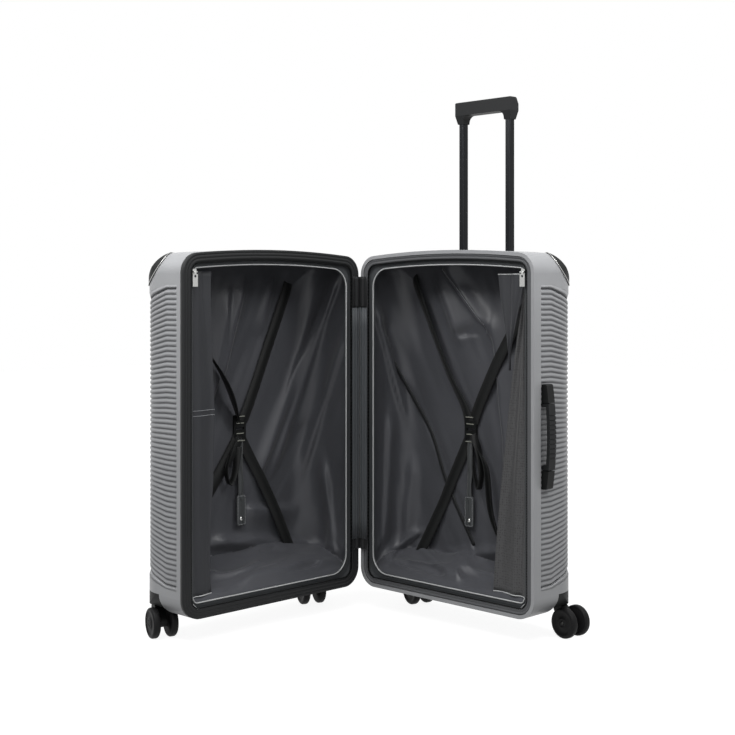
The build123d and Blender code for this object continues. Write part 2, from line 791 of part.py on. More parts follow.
def make_straps(frame, hinge_side, floor_depth, name):
    """Four webbing arms that meet under a ladder buckle, with a hanging tab; hinge_side is the low or high across."""
    flip = hinge_side == "high"

    def place(across):
        return case_width - across if flip else across

    centre = (place(strap_centre_across), strap_centre_height)
    anchors = [
        (place(strap_top_inset), strap_top_height), (place(case_width - strap_top_inset), strap_top_height),
        (place(strap_bottom_inset), strap_bottom_height),
        (place(case_width - strap_bottom_inset), strap_bottom_height),
    ]
    strap_back = floor_depth - seat_gap
    buckle_back = strap_back - strap_thickness - seat_gap
    with BuildPart() as straps:
        with BuildSketch(front_view(frame, strap_back)):
            for anchor in anchors:
                run = Vector(*centre) - Vector(*anchor)
                middle = Vector(*anchor) + run * 0.5
                with Locations(Location((middle.X, middle.Y, 0), (0, 0, degrees(atan2(run.Y, run.X))))):
                    Rectangle(run.length, strap_width)
        extrude(amount=strap_thickness)
    finish(straps, name + "_straps")
    with BuildPart() as buckle:
        with BuildSketch(front_view(frame, buckle_back)):
            with Locations(centre):
                RectangleRounded(buckle_width, buckle_height, buckle_thickness)
                with GridLocations(0, buckle_height / 3, 1, 3):
                    Rectangle(buckle_slot_width, buckle_slot_height, mode=Mode.SUBTRACT)
        extrude(amount=buckle_thickness)
    finish(buckle, name + "_buckle")
    tab_top = strap_centre_height - buckle_height / 2 - tab_gap
    with BuildPart() as tab:
        with BuildSketch(front_view(frame, buckle_back)):
            with Locations((centre[0], tab_top - tab_length / 2)):
                RectangleRounded(tab_width, tab_length, tab_width / 6)
            with Locations((centre[0], tab_top + tab_gap / 2)):
                Rectangle(tab_width / 2, tab_gap)
        extrude(amount=tab_thickness)
    finish(tab, name + "_strap_tab")


def make_divider(frame, hinge_side, top_gather, bottom_gather, name):
    """Divider cloth gathered beside the outer wall: it hangs from the mouth frame in even round folds."""
    flip = hinge_side == "high"
    edge = case_width - frame_inner - seat_gap
    half_folds = 2 * divider_folds

    def place(across, depth):
        return (case_width - across if flip else across, depth)

    with BuildPart() as cloth:
        for height, gather in ((divider_bottom, bottom_gather), (divider_top, top_gather)):
            step = gather / half_folds
            with BuildSketch(plan_view(frame, height)):
                with BuildLine():
                    for face in (frame_start, frame_start + divider_thickness):
                        for index in range(half_folds):
                            start = edge - index * step
                            bulge = divider_swell * step * (-1) ** index
                            ThreePointArc(
                                place(start, face), place(start - step / 2, face + bulge), place(start - step, face),
                            )
                    for end in (edge, edge - gather):
                        Line(place(end, frame_start), place(end, frame_start + divider_thickness))
                make_face()
        loft(ruled=True)
    finish(cloth, name + "_divider")


def make_divider_zip(frame, hinge_side, name):
    """Corded zip line round the mouth frame, its slider and the hanging pull."""
    flip = hinge_side == "high"
    reach = frame_inner - piping_width / 2
    across = reach if flip else case_width - reach
    front = frame_start - seat_gap
    rim_ring(frame, frame_inner - piping_width, frame_inner, front - piping_width, piping_width, name + "_divider_zip")
    slider_back = front - piping_width - seat_gap
    eye_depth = slider_back - slider_thickness - pull_eye_radius
    with BuildPart() as slider:
        with BuildSketch(front_view(frame, slider_back)):
            with Locations((across, slider_height)):
                RectangleRounded(slider_width, slider_length, slider_width / 4)
        extrude(amount=slider_thickness)
        for side in (1, -1):
            ear = across + side * (slider_width - slider_ear) / 2
            with BuildSketch(side_view(frame, ear)):
                with Locations((eye_depth, slider_height)):
                    Circle(pull_eye_radius)
                with Locations((eye_depth + pull_eye_radius, slider_height)):
                    Rectangle(2 * pull_eye_radius, 2 * pull_eye_radius)
            extrude(amount=slider_ear / 2, both=True)
        with BuildSketch(side_view(frame, across - slider_width / 2)):
            with Locations((eye_depth, slider_height)):
                Circle(pull_pin_radius)
        extrude(amount=slider_width)
    finish(slider, name + "_divider_slider")
    neck = slider_width - 2 * slider_ear - 2 * seat_gap
    neck_length = pull_drop + pull_corner
    plate_bottom = slider_height - pull_drop - pull_length
    with BuildPart() as pull:
        with BuildSketch(side_view(frame, across)):
            with Locations((eye_depth, slider_height)):
                Circle(pull_eye_radius)
        extrude(amount=neck / 2, both=True)
        with BuildSketch(front_view(frame, eye_depth + pull_thickness / 2)):
            with Locations((across, slider_height - neck_length / 2)):
                Rectangle(neck, neck_length)
            with Locations((across, plate_bottom + pull_length / 2)):
                RectangleRounded(pull_width, pull_length, pull_corner)
            with Locations((across, plate_bottom + pull_width / 2)):
                Circle(pull_hole_radius, mode=Mode.SUBTRACT)
        extrude(amount=pull_thickness)
        with BuildSketch(side_view(frame, across - slider_width)):
            with Locations((eye_depth, slider_height)):
                Circle(pull_pin_radius + pull_pin_fit)
        extrude(amount=2 * slider_width, mode=Mode.SUBTRACT)
    finish(pull, name + "_divider_pull")


def make_hinge_strip():
    """Bent cloth strip that joins the two rim frames across the hinge line."""
    near = seat_gap
    far = near + strip_thickness
    with BuildPart() as strip:
        with BuildSketch(Plane((hinge_x, hinge_y, strip_bottom))):
            with BuildLine():
                Polyline(
                    (strip_leg, -near), (near, -near), (near, -strip_leg), (far, -strip_leg),
                    (far, -far), (strip_leg, -far), close=True,
                )
            make_face()
        extrude(amount=strip_top - strip_bottom)
    finish(strip, "hinge_strip")


tray_span = (tube_centre - tray_half_width - seat_gap, tube_centre + tray_half_width + seat_gap)
tray_cut = local_box(
    rear_frame, tray_span, (tray_start - seat_gap, half_depth + overcut),
    (tray_bottom - seat_gap, crown_top + overcut),
)
make_shell(rear_frame, seat_gap, "rear_shell", [tray_cut])
make_shell(front_frame, zip_band_depth, "front_shell", [])
make_lining(rear_frame, rear_floor_depth, "rear_lining")
make_lining(front_frame, front_floor_depth, "front_lining")
for half_frame, half_name, hinge_end in ((rear_frame, "rear", "low"), (front_frame, "front", "high")):
    floor = rear_floor_depth if half_name == "rear" else front_floor_depth
    low_end, high_end = ("hinge", "outer") if hinge_end == "low" else ("outer", "hinge")
    make_guard(half_frame, -1, half_name + "_guard_" + low_end)
    make_guard(half_frame, 1, half_name + "_guard_" + high_end)
    low_place, high_place = caster_places(half_frame)
    make_housing(half_frame, low_place, half_name + "_housing_" + low_end)
    make_housing(half_frame, high_place, half_name + "_housing_" + high_end)
    make_straps(half_frame, hinge_end, floor, half_name)
    make_divider_zip(half_frame, hinge_end, half_name)
make_divider(rear_frame, "low", rear_gather_top, rear_gather_bottom, "rear")
make_divider(front_frame, "high", front_gather, front_gather, "front")
rear_hinge_place, rear_outer_place = caster_places(rear_frame)
front_outer_place, front_hinge_place = caster_places(front_frame)
make_caster(rear_hinge_place, rear_hinge_trail_angle, "rear_hinge")
make_caster(rear_outer_place, rear_outer_trail_angle, "rear_outer")
make_caster(front_hinge_place, front_hinge_trail_angle, "front_hinge")
make_caster(front_outer_place, front_outer_trail_angle, "front_outer")
make_rear_zip_tape()
make_front_zip_band()
make_trolley()
make_side_handle()
make_hinge_strip()
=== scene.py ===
# %% [markdown]
# # A hard shell suitcase, standing open
# The case is a moulded silver shell in two halves, joined like the covers of a book. Black zip tape runs round
# both rims, satin cloth lines the inside, and webbing straps lie over the cloth. The solids of the rigid parts
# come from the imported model. This lesson gives them their finishes and makes the cloth that lies over them.

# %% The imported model
import json
import math

import bmesh
import bpy
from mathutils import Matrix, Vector, noise


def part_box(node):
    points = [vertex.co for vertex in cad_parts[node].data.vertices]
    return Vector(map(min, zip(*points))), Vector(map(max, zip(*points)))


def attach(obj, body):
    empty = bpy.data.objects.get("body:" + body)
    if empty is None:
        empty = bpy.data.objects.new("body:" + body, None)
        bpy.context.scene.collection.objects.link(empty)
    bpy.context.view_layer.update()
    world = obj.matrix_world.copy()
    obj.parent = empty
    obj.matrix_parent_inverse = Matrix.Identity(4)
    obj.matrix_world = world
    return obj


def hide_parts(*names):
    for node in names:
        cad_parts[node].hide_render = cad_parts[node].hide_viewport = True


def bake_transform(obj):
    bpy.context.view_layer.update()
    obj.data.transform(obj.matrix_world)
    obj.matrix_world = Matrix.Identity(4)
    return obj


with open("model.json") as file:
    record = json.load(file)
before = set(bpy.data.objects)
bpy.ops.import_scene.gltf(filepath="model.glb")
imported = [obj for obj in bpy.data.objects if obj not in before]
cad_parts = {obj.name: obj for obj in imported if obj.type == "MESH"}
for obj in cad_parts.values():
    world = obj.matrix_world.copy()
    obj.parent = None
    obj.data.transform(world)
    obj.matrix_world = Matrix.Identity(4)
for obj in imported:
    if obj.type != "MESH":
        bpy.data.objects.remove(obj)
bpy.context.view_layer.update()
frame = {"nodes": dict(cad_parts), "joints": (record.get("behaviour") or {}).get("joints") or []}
scene = bpy.context.scene
nodes = frame["nodes"]
joints = {joint["name"]: joint for joint in frame["joints"]}
print("nodes:", len(nodes), "joints:", len(joints))

# %% [markdown]
# ## One way of counting for both halves
# The halves are twins, so a place in either is given by three numbers: across from the hinge side, depth behind
# the rim, and height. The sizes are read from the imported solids, so cloth and shell can't drift apart.

# %% Sizes of the case
MM = 0.001
hinge = Vector(joints["lid_hinge"]["pos_m"])
shell_low, shell_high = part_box("rear_shell")
case_width = shell_high.x - shell_low.x
hinge_offset = shell_low.x - hinge.x
half_depth = shell_high.y - hinge.y
shell_bottom = shell_low.z
crown_top = shell_high.z
crown_rise = 12 * MM
rim_corner = 40 * MM
crown_radius = ((case_width / 2) ** 2 + crown_rise ** 2) / (2 * crown_rise)
crown_centre = crown_top - crown_radius
strap_depth = {"rear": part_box("rear_straps")[1].y - hinge.y, "front": hinge.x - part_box("front_straps")[0].x}
case_body = {"rear": "rear_case", "front": "front_case"}


def place(half, across, depth, height):
    """Point of a half in the model's frame."""
    if half == "rear":
        return Vector((hinge.x + hinge_offset + across, hinge.y + depth, height))
    return Vector((hinge.x - depth, hinge.y - hinge_offset - across, height))


print("case width and depth of a half, mm:", round(case_width / MM, 1), round(half_depth / MM, 1))

# %% [markdown]
# ## Meshes from rows of points
# Cloth, tape and piping are all rows of points joined into a skin. One helper makes the mesh and lays a UV map
# on it in metres, so that a weave of one millimetre is one millimetre on every piece.

# %% A skin over rows of points
def show(name, data):
    """New object in the scene, at the origin."""
    made = bpy.data.objects.new(name, data)
    scene.collection.objects.link(made)
    return made


def skin(name, rows, wrap_rows=False, wrap_columns=False, flip=False, thickness=0.0):
    """Mesh over equally long rows of points, with UVs in metres along the rows and across them."""
    count = len(rows[0])
    mesh = bpy.data.meshes.new(name)
    faces = []
    for i in range(len(rows) - (0 if wrap_rows else 1)):
        for j in range(count - (0 if wrap_columns else 1)):
            k, m = (i + 1) % len(rows), (j + 1) % count
            quad = (i * count + j, i * count + m, k * count + m, k * count + j)
            faces.append(quad[::-1] if flip else quad)
    mesh.from_pydata([tuple(p) for row in rows for p in row], [], faces)
    along = [0.0]
    for j in range(count):
        along.append(along[-1] + (Vector(rows[0][(j + 1) % count]) - Vector(rows[0][j])).length)
    across = [0.0]
    for i in range(len(rows)):
        across.append(across[-1] + (Vector(rows[(i + 1) % len(rows)][0]) - Vector(rows[i][0])).length)
    layer = mesh.uv_layers.new(name="cloth")
    for face in mesh.polygons:
        wide = max(mesh.loops[loop].vertex_index % count for loop in face.loop_indices)
        tall = max(mesh.loops[loop].vertex_index // count for loop in face.loop_indices)
        for loop in face.loop_indices:
            i, j = divmod(mesh.loops[loop].vertex_index, count)
            j = count if wrap_columns and j == 0 and wide == count - 1 and count > 2 else j
            i = len(rows) if wrap_rows and i == 0 and tall == len(rows) - 1 and len(rows) > 2 else i
            layer.data[loop].uv = (along[j], across[i])
        face.use_smooth = True
    piece = show(name, mesh)
    if thickness:
        solid = piece.modifiers.new("thickness", "SOLIDIFY")
        solid.thickness = thickness
        solid.offset = 0
    return piece


def dress(piece, material, half_or_body, slot, *replaced):
    """Give a piece its material, its body and the solids that it stands for; slot is not used."""
    piece.data.materials.clear()
    piece.data.materials.append(material)
    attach(piece, case_body.get(half_or_body, half_or_body))
    if replaced:
        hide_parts(*replaced)
    print(piece.name, "faces:", len(piece.data.polygons))
    return piece


# %% [markdown]
# ## The rim line
# Zip tape, frame and piping follow the rim: a rounded rectangle with a slightly crowned top. Lines that lie
# further in have tighter corners about the same centres, so one function serves them all.

# %% Points round the rim
LINE_STEPS = 96
ARC_STEPS = 12
CORNER_LEAST = 3 * MM
HINGE_ROUND = 40 * MM
ROUND_FROM = 20 * MM


def rim_path(inset, hinge_round=0.0):
    """Points (across, height) inside the rim, from the lower hinge corner round by the outer side.

    The frame inside the rim has rounder corners on the hinge side: hinge_round is their least radius.
    """
    middle = case_width / 2
    crown = crown_radius - inset
    floor_line = shell_bottom + inset
    outer = max(rim_corner - inset, CORNER_LEAST)
    inner = max(outer, hinge_round)
    points = []

    def shoulder(corner):
        reach, radius = middle - inset - corner, crown - corner
        return crown_centre + math.sqrt(radius ** 2 - reach ** 2), math.asin(reach / radius)

    def line(start, end):
        for step in range(LINE_STEPS):
            share = step / LINE_STEPS
            points.append(tuple(a + (b - a) * share for a, b in zip(start, end)))

    def arc(centre, radius, first, last, steps):
        for step in range(steps):
            turn = first + (last - first) * step / steps
            points.append((centre[0] + radius * math.cos(turn), centre[1] + radius * math.sin(turn)))

    quarter = math.pi / 2
    left, right = inset + inner, case_width - inset - outer
    (high_left, tilt_left), (high_right, tilt_right) = shoulder(inner), shoulder(outer)
    line((left, floor_line), (right, floor_line))
    arc((right, floor_line + outer), outer, -quarter, 0, ARC_STEPS)
    line((right + outer, floor_line + outer), (right + outer, high_right))
    arc((right, high_right), outer, 0, quarter - tilt_right, ARC_STEPS)
    arc((middle, crown_centre), crown, quarter - tilt_right, quarter + tilt_left, LINE_STEPS)
    arc((left, high_left), inner, quarter + tilt_left, 2 * quarter, ARC_STEPS)
    line((left - inner, high_left), (left - inner, floor_line + inner))
    arc((left, floor_line + inner), inner, 2 * quarter, 3 * quarter, ARC_STEPS)
    return points


def rim_sweep(name, half, profile):
    """Closed moulding round the rim: profile lists (inset, depth) points in mm, taken round its section."""
    rows = []
    for inset, depth in profile:
        soft = HINGE_ROUND if inset * MM > ROUND_FROM else 0.0
        line = rim_path(inset * MM, soft)
        rows.append([place(half, across, depth * MM, height) for across, height in line])
    piece = skin(name, rows, wrap_rows=True, wrap_columns=True)
    shell = bmesh.new()
    shell.from_mesh(piece.data)
    bmesh.ops.recalc_face_normals(shell, faces=shell.faces)
    shell.to_mesh(piece.data)
    shell.free()
    return piece


print("points round the rim:", len(rim_path(0)))

# %% [markdown]
# ## Finishes
# A finish starts from what the material is and how its surface was made. Colours are written as sRGB hex values
# and turned to linear light by one function. One small helper adds a node with its settings, values and links.

# %% Helpers for finishes
def linear(hex_colour):
    """sRGB hex colour as linear RGBA."""
    values = [int(hex_colour[i:i + 2], 16) / 255 for i in (1, 3, 5)]
    return (*[v / 12.92 if v <= 0.04045 else ((v + 0.055) / 1.055) ** 2.4 for v in values], 1.0)


def add(tree, kind, settings=(), values=(), links=()):
    """Add one node, with its properties, its socket values and the outputs that feed its sockets."""
    made = tree.nodes.new(kind)
    for name, value in dict(settings).items():
        setattr(made, name, value)
    for socket, value in dict(values).items():
        made.inputs[socket].default_value = value
    for socket, source in dict(links).items():
        tree.links.new(source, made.inputs[socket])
    return made


def start_finish(name, **values):
    """New material with a Principled shader, whose constants are set on its own sockets."""
    material = bpy.data.materials.new(name)
    material.use_nodes = True
    tree = material.node_tree
    tree.nodes.clear()
    shader = add(tree, "ShaderNodeBsdfPrincipled", values={k.replace("_", " "): v for k, v in values.items()})
    add(tree, "ShaderNodeOutputMaterial", links={"Surface": shader.outputs["BSDF"]})
    return material, tree, shader


def per_metre(size_mm):
    """Texture scale that repeats once in so many millimetres."""
    return 1 / (size_mm * MM)


def tone(tree, fac, dark, light):
    """Colour between two hex values, driven by a grey output."""
    mix = add(tree, "ShaderNodeMix", {"data_type": "RGBA"}, {"A": linear(dark), "B": linear(light)})
    tree.links.new(fac, mix.inputs["Factor"])
    return mix.outputs["Result"]


def cloudy(tree, where, size_mm, detail):
    """Noise with patches of about that size."""
    return add(tree, "ShaderNodeTexNoise", values={"Scale": per_metre(size_mm), "Detail": detail},
               links={"Vector": where}).outputs["Fac"]


def between(tree, fac, low, high):
    """Grey output brought from 0..1 to low..high."""
    return add(tree, "ShaderNodeMapRange", values={"To Min": low, "To Max": high},
               links={"Value": fac}).outputs["Result"]


def raised(tree, height, strength, rise_mm):
    """Normal of a surface that is raised by a grey output."""
    return add(tree, "ShaderNodeBump", values={"Strength": strength, "Distance": rise_mm * MM},
               links={"Height": height}).outputs["Normal"]


def combine(tree, operation, first, second):
    """One grey output from two."""
    return add(tree, "ShaderNodeMath", {"operation": operation}, (), {0: first, 1: second}).outputs["Value"]


def feed(tree, shader, **sources):
    """Link outputs to the shader's sockets."""
    for socket, source in sources.items():
        tree.links.new(source, shader.inputs[socket.replace("_", " ")])


# %% [markdown]
# ### Silver shell
# The shell is vacuum formed polycarbonate with a metallic silver film under a clear satin face. The eye sees
# soft, wide highlights and a very fine orange-peel grain. Shade is painted into the valleys between the ribs:
# the ribs carry an attribute, highest deep in a valley, that darkens the colour there.

# %% Silver polycarbonate
def silver_polycarbonate():
    material, tree, shader = start_finish(
        "silver film on formed polycarbonate", Metallic=0.12, IOR=1.58, Specular_IOR_Level=0.3,
    )
    where = add(tree, "ShaderNodeTexCoord").outputs["Object"]
    cloud = cloudy(tree, where, 90, 3.0)
    grain = cloudy(tree, where, 1.4, 2.0)
    painted_groove_shade = add(tree, "ShaderNodeAttribute", {"attribute_name": "painted_groove_shade"})
    # Painted shade: the colour darkens towards #4c4d50 where the ribs' attribute is high, in the valleys.
    film_and_painted_shade = add(tree, "ShaderNodeMix", {"data_type": "RGBA"}, {"B": linear("#4c4d50")}, {
        "Factor": painted_groove_shade.outputs["Fac"], "A": tone(tree, cloud, "#848587", "#939496")})
    feed(tree, shader, Base_Color=film_and_painted_shade.outputs["Result"], Roughness=between(tree, cloud, 0.36, 0.46),
         Normal=raised(tree, grain, 0.12, 0.08))
    return material


silver = silver_polycarbonate()

# %% [markdown]
# ### Black mouldings
# Grip, caps, guards and housings are injection moulded ABS or nylon. The mould is spark eroded, which leaves an
# even, fine pebble grain that scatters the highlight. Wheels are cast polyurethane, which is smoother. The
# bars of the buckles are black acetal, drawn in a light grey that paints their highlights.

# %% Moulded blacks
def moulded_black(name, dark, light, grain_mm, strength, rough_low, rough_high):
    material, tree, shader = start_finish(name, IOR=1.5, Specular_IOR_Level=0.14)
    where = add(tree, "ShaderNodeTexCoord").outputs["Object"]
    grain = add(tree, "ShaderNodeTexVoronoi", {"feature": "SMOOTH_F1"}, {"Scale": per_metre(grain_mm)},
                {"Vector": where})
    cloud = cloudy(tree, where, 40, 4.0)
    feed(tree, shader, Base_Color=tone(tree, cloud, dark, light),
         Roughness=between(tree, cloud, rough_low, rough_high),
         Normal=raised(tree, grain.outputs["Distance"], strength, 0.15))
    return material


pebbled_abs = moulded_black("pebble grained black ABS", "#0e0f0f", "#151616", 0.9, 0.25, 0.45, 0.58)
cast_polyurethane = moulded_black("cast black polyurethane", "#0a0a0b", "#101011", 2.5, 0.08, 0.5, 0.6)
soft_grip_rubber = moulded_black("soft touch black rubber", "#141516", "#1e1f20", 0.7, 0.2, 0.42, 0.54)
# The buckle bars are black; this light grey is their painted highlight.
painted_highlight_acetal = moulded_black("black acetal bars in painted highlight grey", "#77786f", "#8a8b84", 6.0, 0.02, 0.2, 0.26)


# %% [markdown]
# ### Metals
# The telescopic tubes are drawn aluminium, black anodised: drawing leaves faint lines along the tube. Zip pulls
# and axles are nickel plated, bright but a little dulled by handling.

# %% Anodised aluminium and nickel
def drawn_metal(name, dark, light, rough_low, rough_high, lines):
    material, tree, shader = start_finish(name, Metallic=1.0)
    where = add(tree, "ShaderNodeTexCoord").outputs["Object"]
    stretch = add(tree, "ShaderNodeMapping", values={"Scale": lines}, links={"Vector": where})
    streak = add(tree, "ShaderNodeTexNoise", values={"Scale": 1.0, "Detail": 3.0},
                 links={"Vector": stretch.outputs["Vector"]}).outputs["Fac"]
    feed(tree, shader, Base_Color=tone(tree, streak, dark, light),
         Roughness=between(tree, streak, rough_low, rough_high))
    return material


along_tube = (per_metre(0.8), per_metre(0.8), per_metre(60))
anodised_black = drawn_metal("black anodised drawn aluminium", "#1a1b1c", "#2b2c2e", 0.26, 0.36, along_tube)
nickel_plate = drawn_metal("nickel plated zinc", "#b0b0ae", "#c8c8c6", 0.24, 0.36, (per_metre(3),) * 3)


# %% [markdown]
# ### Cloth
# The lining is a satin woven polyester: long floats catch the light along the folds, so it has a broad sheen.
# Tape and webbing are plain or ribbed weaves, dull and dark. Threads are drawn coarser than they are.

# %% Woven cloths
def woven(name, dark, light, thread_mm, strength, rough, sheen):
    """Two crossed thread waves on the piece's own UVs, over a slow change of tone."""
    material, tree, shader = start_finish(
        name, IOR=1.45, Sheen_Weight=sheen, Sheen_Roughness=0.4, Specular_IOR_Level=0.25,
    )
    cloth = add(tree, "ShaderNodeUVMap", {"uv_map": "cloth"}).outputs["UV"]
    where = add(tree, "ShaderNodeTexCoord").outputs["Object"]
    scale = per_metre(thread_mm) / math.tau * 2
    warp, weft = [add(tree, "ShaderNodeTexWave", {"bands_direction": way}, {"Scale": scale},
                      {"Vector": cloth}).outputs["Fac"] for way in ("X", "Y")]
    threads = combine(tree, "ADD", warp, weft)
    cloud = cloudy(tree, where, 140, 4.0)
    feed(tree, shader, Base_Color=tone(tree, cloud, dark, light),
         Roughness=between(tree, cloud, rough - 0.05, rough + 0.05),
         Normal=raised(tree, threads, strength, 0.1))
    return material


lining_satin = woven("charcoal satin polyester", "#3d3e42", "#4b4c50", 1.2, 0.12, 0.36, 0.12)
divider_cloth = woven("charcoal plain polyester", "#2b2c2f", "#353639", 1.6, 0.2, 0.6, 0.08)
hinge_cloth = woven("slate ribbed polyester", "#393c3f", "#45484b", 1.4, 0.2, 0.5, 0.2)
frame_cloth = woven("dark grey binding tape", "#343638", "#3f4143", 1.0, 0.25, 0.6, 0.1)
edge_tape = woven("grey coated zip tape", "#4a4b4d", "#565759", 1.0, 0.2, 0.5, 0.1)
zip_weave = woven("black zip tape", "#131415", "#1c1d1e", 1.2, 0.3, 0.6, 0.05)
webbing_weave = woven("black ribbed webbing", "#0b0c0c", "#121313", 2.2, 0.5, 0.62, 0.03)
tab_cloth = woven("grey coated tab cloth", "#37393a", "#454748", 1.6, 0.25, 0.5, 0.08)
piping_cord = woven("light grey covered piping", "#a3a5a6", "#b9baba", 1.5, 0.3, 0.5, 0.1)
stitch_thread = woven("grey sewing thread", "#84868a", "#a3a5a8", 0.8, 0.2, 0.6, 0.1)


# %% [markdown]
# The rear divider is a knitted mesh below its flap. Its fine holes are drawn as dark dots in the colour and the
# bump, at a pitch of 5 mm, which is much coarser than a real knit, so that they show from the camera.

# %% Knitted mesh
def knitted_mesh():
    hole_mm = 5.0
    material, tree, shader = start_finish("charcoal knitted mesh", IOR=1.45, Roughness=0.55, Sheen_Weight=0.08)
    cloth = add(tree, "ShaderNodeUVMap", {"uv_map": "cloth"}).outputs["UV"]
    cells = add(tree, "ShaderNodeTexVoronoi", values={"Scale": per_metre(hole_mm), "Randomness": 0.35},
                links={"Vector": cloth})
    holes = add(tree, "ShaderNodeMapRange", values={"From Min": 0.18, "From Max": 0.42},
                links={"Value": cells.outputs["Distance"]})
    dots = holes.outputs["Result"]
    feed(tree, shader, Base_Color=tone(tree, dots, "#1b1b1c", "#383839"), Normal=raised(tree, dots, 0.5, 0.3))
    return material


mesh_knit = knitted_mesh()
print("finishes:", len(bpy.data.materials))

# %% [markdown]
# ## Finishes of the solids
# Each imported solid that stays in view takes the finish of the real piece. Cloth solids are replaced below.

# %% Solids that stay in view
def finish_of(name):
    if name.endswith("_shell"):
        return silver
    if name.startswith(("inner_tube", "outer_tube")):
        return anodised_black
    if name.endswith(("_axle", "_slider", "_pull")) or name.startswith("push_rod"):
        return nickel_plate
    if name.endswith("_wheels"):
        return cast_polyurethane
    if name in ("side_handle_grip", "trolley_grip"):
        return soft_grip_rubber
    if "lining" in name or "divider" in name or "zip" in name or "strap" in name:
        return frame_cloth
    return pebbled_abs


for name, node_object in nodes.items():
    node_object.data.materials.clear()
    node_object.data.materials.append(finish_of(name))
print("solids dressed:", len(nodes))

# %% [markdown]
# ## Zip tape, frame and piping
# Round the front rim runs a black zip band with two pressed grooves; the rear rim has a narrow tape behind its
# silver flange. Inside each rim lies a flat cloth frame, edged by a light cord that carries the divider's zip.

# %% Rim pieces
FACE = 0.4
GROOVE = FACE + 0.7
band_profile = [
    (0, FACE), (4.5, FACE), (5.2, GROOVE), (6.2, GROOVE), (6.9, FACE), (11, FACE), (11.7, GROOVE),
    (12.7, GROOVE), (13.4, FACE), (18, FACE), (18.6, 1.6), (18, 2.7), (2.6, 2.7), (2.5, 9.8), (0, 9.8),
]
dress(rim_sweep("front_zip_weave", "front", band_profile), zip_weave, "front", "zip_tape", "front_zip_band")
tape_profile = [
    (7.6, 2.1), (11.2, 2.3), (12.2, 3.6), (13.6, 3.6), (14.4, 3.0), (17.9, 3.0), (17.9, 4.4), (7.6, 4.4),
]
dress(rim_sweep("rear_zip_weave", "rear", tape_profile), edge_tape, "rear", "zip_tape", "rear_zip_tape")
frame_profile = [
    (8, 11), (16, 9.4), (18.4, 8.8), (19.2, 10.2), (20.4, 9.6), (25, 9.2), (29, 9.9), (30.8, 11.4),
    (29, 12.6), (8, 12.6),
]
for half in ("rear", "front"):
    dress(rim_sweep(half + "_mouth_frame", half, frame_profile), frame_cloth, half, "lining_cloth")

# %% [markdown]
# The piping is a cord in a folded strip. It goes from the zip pull over the top, down the hinge side and along
# the bottom; on the outer side the divider is sewn to the frame, so there is none.

# %% Piping
PIPING_RADIUS = 1.35 * MM
PIPING_INSET, PIPING_DEPTH = 29.2 * MM, 8.4 * MM
ASIDE = Vector((0.3, 0.2, 0.93))


def tube(name, points, radius, closed=True, sides=8):
    """Round cord or bead along points."""
    rows = []
    last = len(points) - 1
    for index, point in enumerate(points):
        ahead = points[(index + 1) % len(points)] if closed or index < last else point
        behind = points[index - 1] if closed or index > 0 else point
        run = (ahead - behind).normalized()
        across = run.cross(ASIDE).normalized()
        up = run.cross(across)
        turns = [math.tau * step / sides for step in range(sides)]
        rows.append([point + (across * math.cos(t) + up * math.sin(t)) * radius for t in turns])
    return skin(name, rows, wrap_rows=closed, wrap_columns=True)


side_start, side_end = LINE_STEPS + ARC_STEPS + 1, 2 * LINE_STEPS + ARC_STEPS - 1
for half in ("rear", "front"):
    line = rim_path(PIPING_INSET, HINGE_ROUND)
    open_run = [place(half, a, PIPING_DEPTH, h) for a, h in line[side_end:] + line[:side_start]]
    cord = tube(half + "_piping", open_run, PIPING_RADIUS, closed=False)
    dress(cord, piping_cord, half, "piping", half + "_divider_zip")

# %% [markdown]
# ## Lining
# The lining is sewn in behind the piping and hangs loose in the shell, so it falls into long slanting folds
# from the upper hinge corner and piles up along the bottom. It starts as a smooth tray of rings; each point is
# then pushed in by a sum of folds. The chosen folds follow the main ones of the photograph, as lines with a
# width and a height; noise adds the small ones and the pleats. Negative distances lie on the hinge wall.

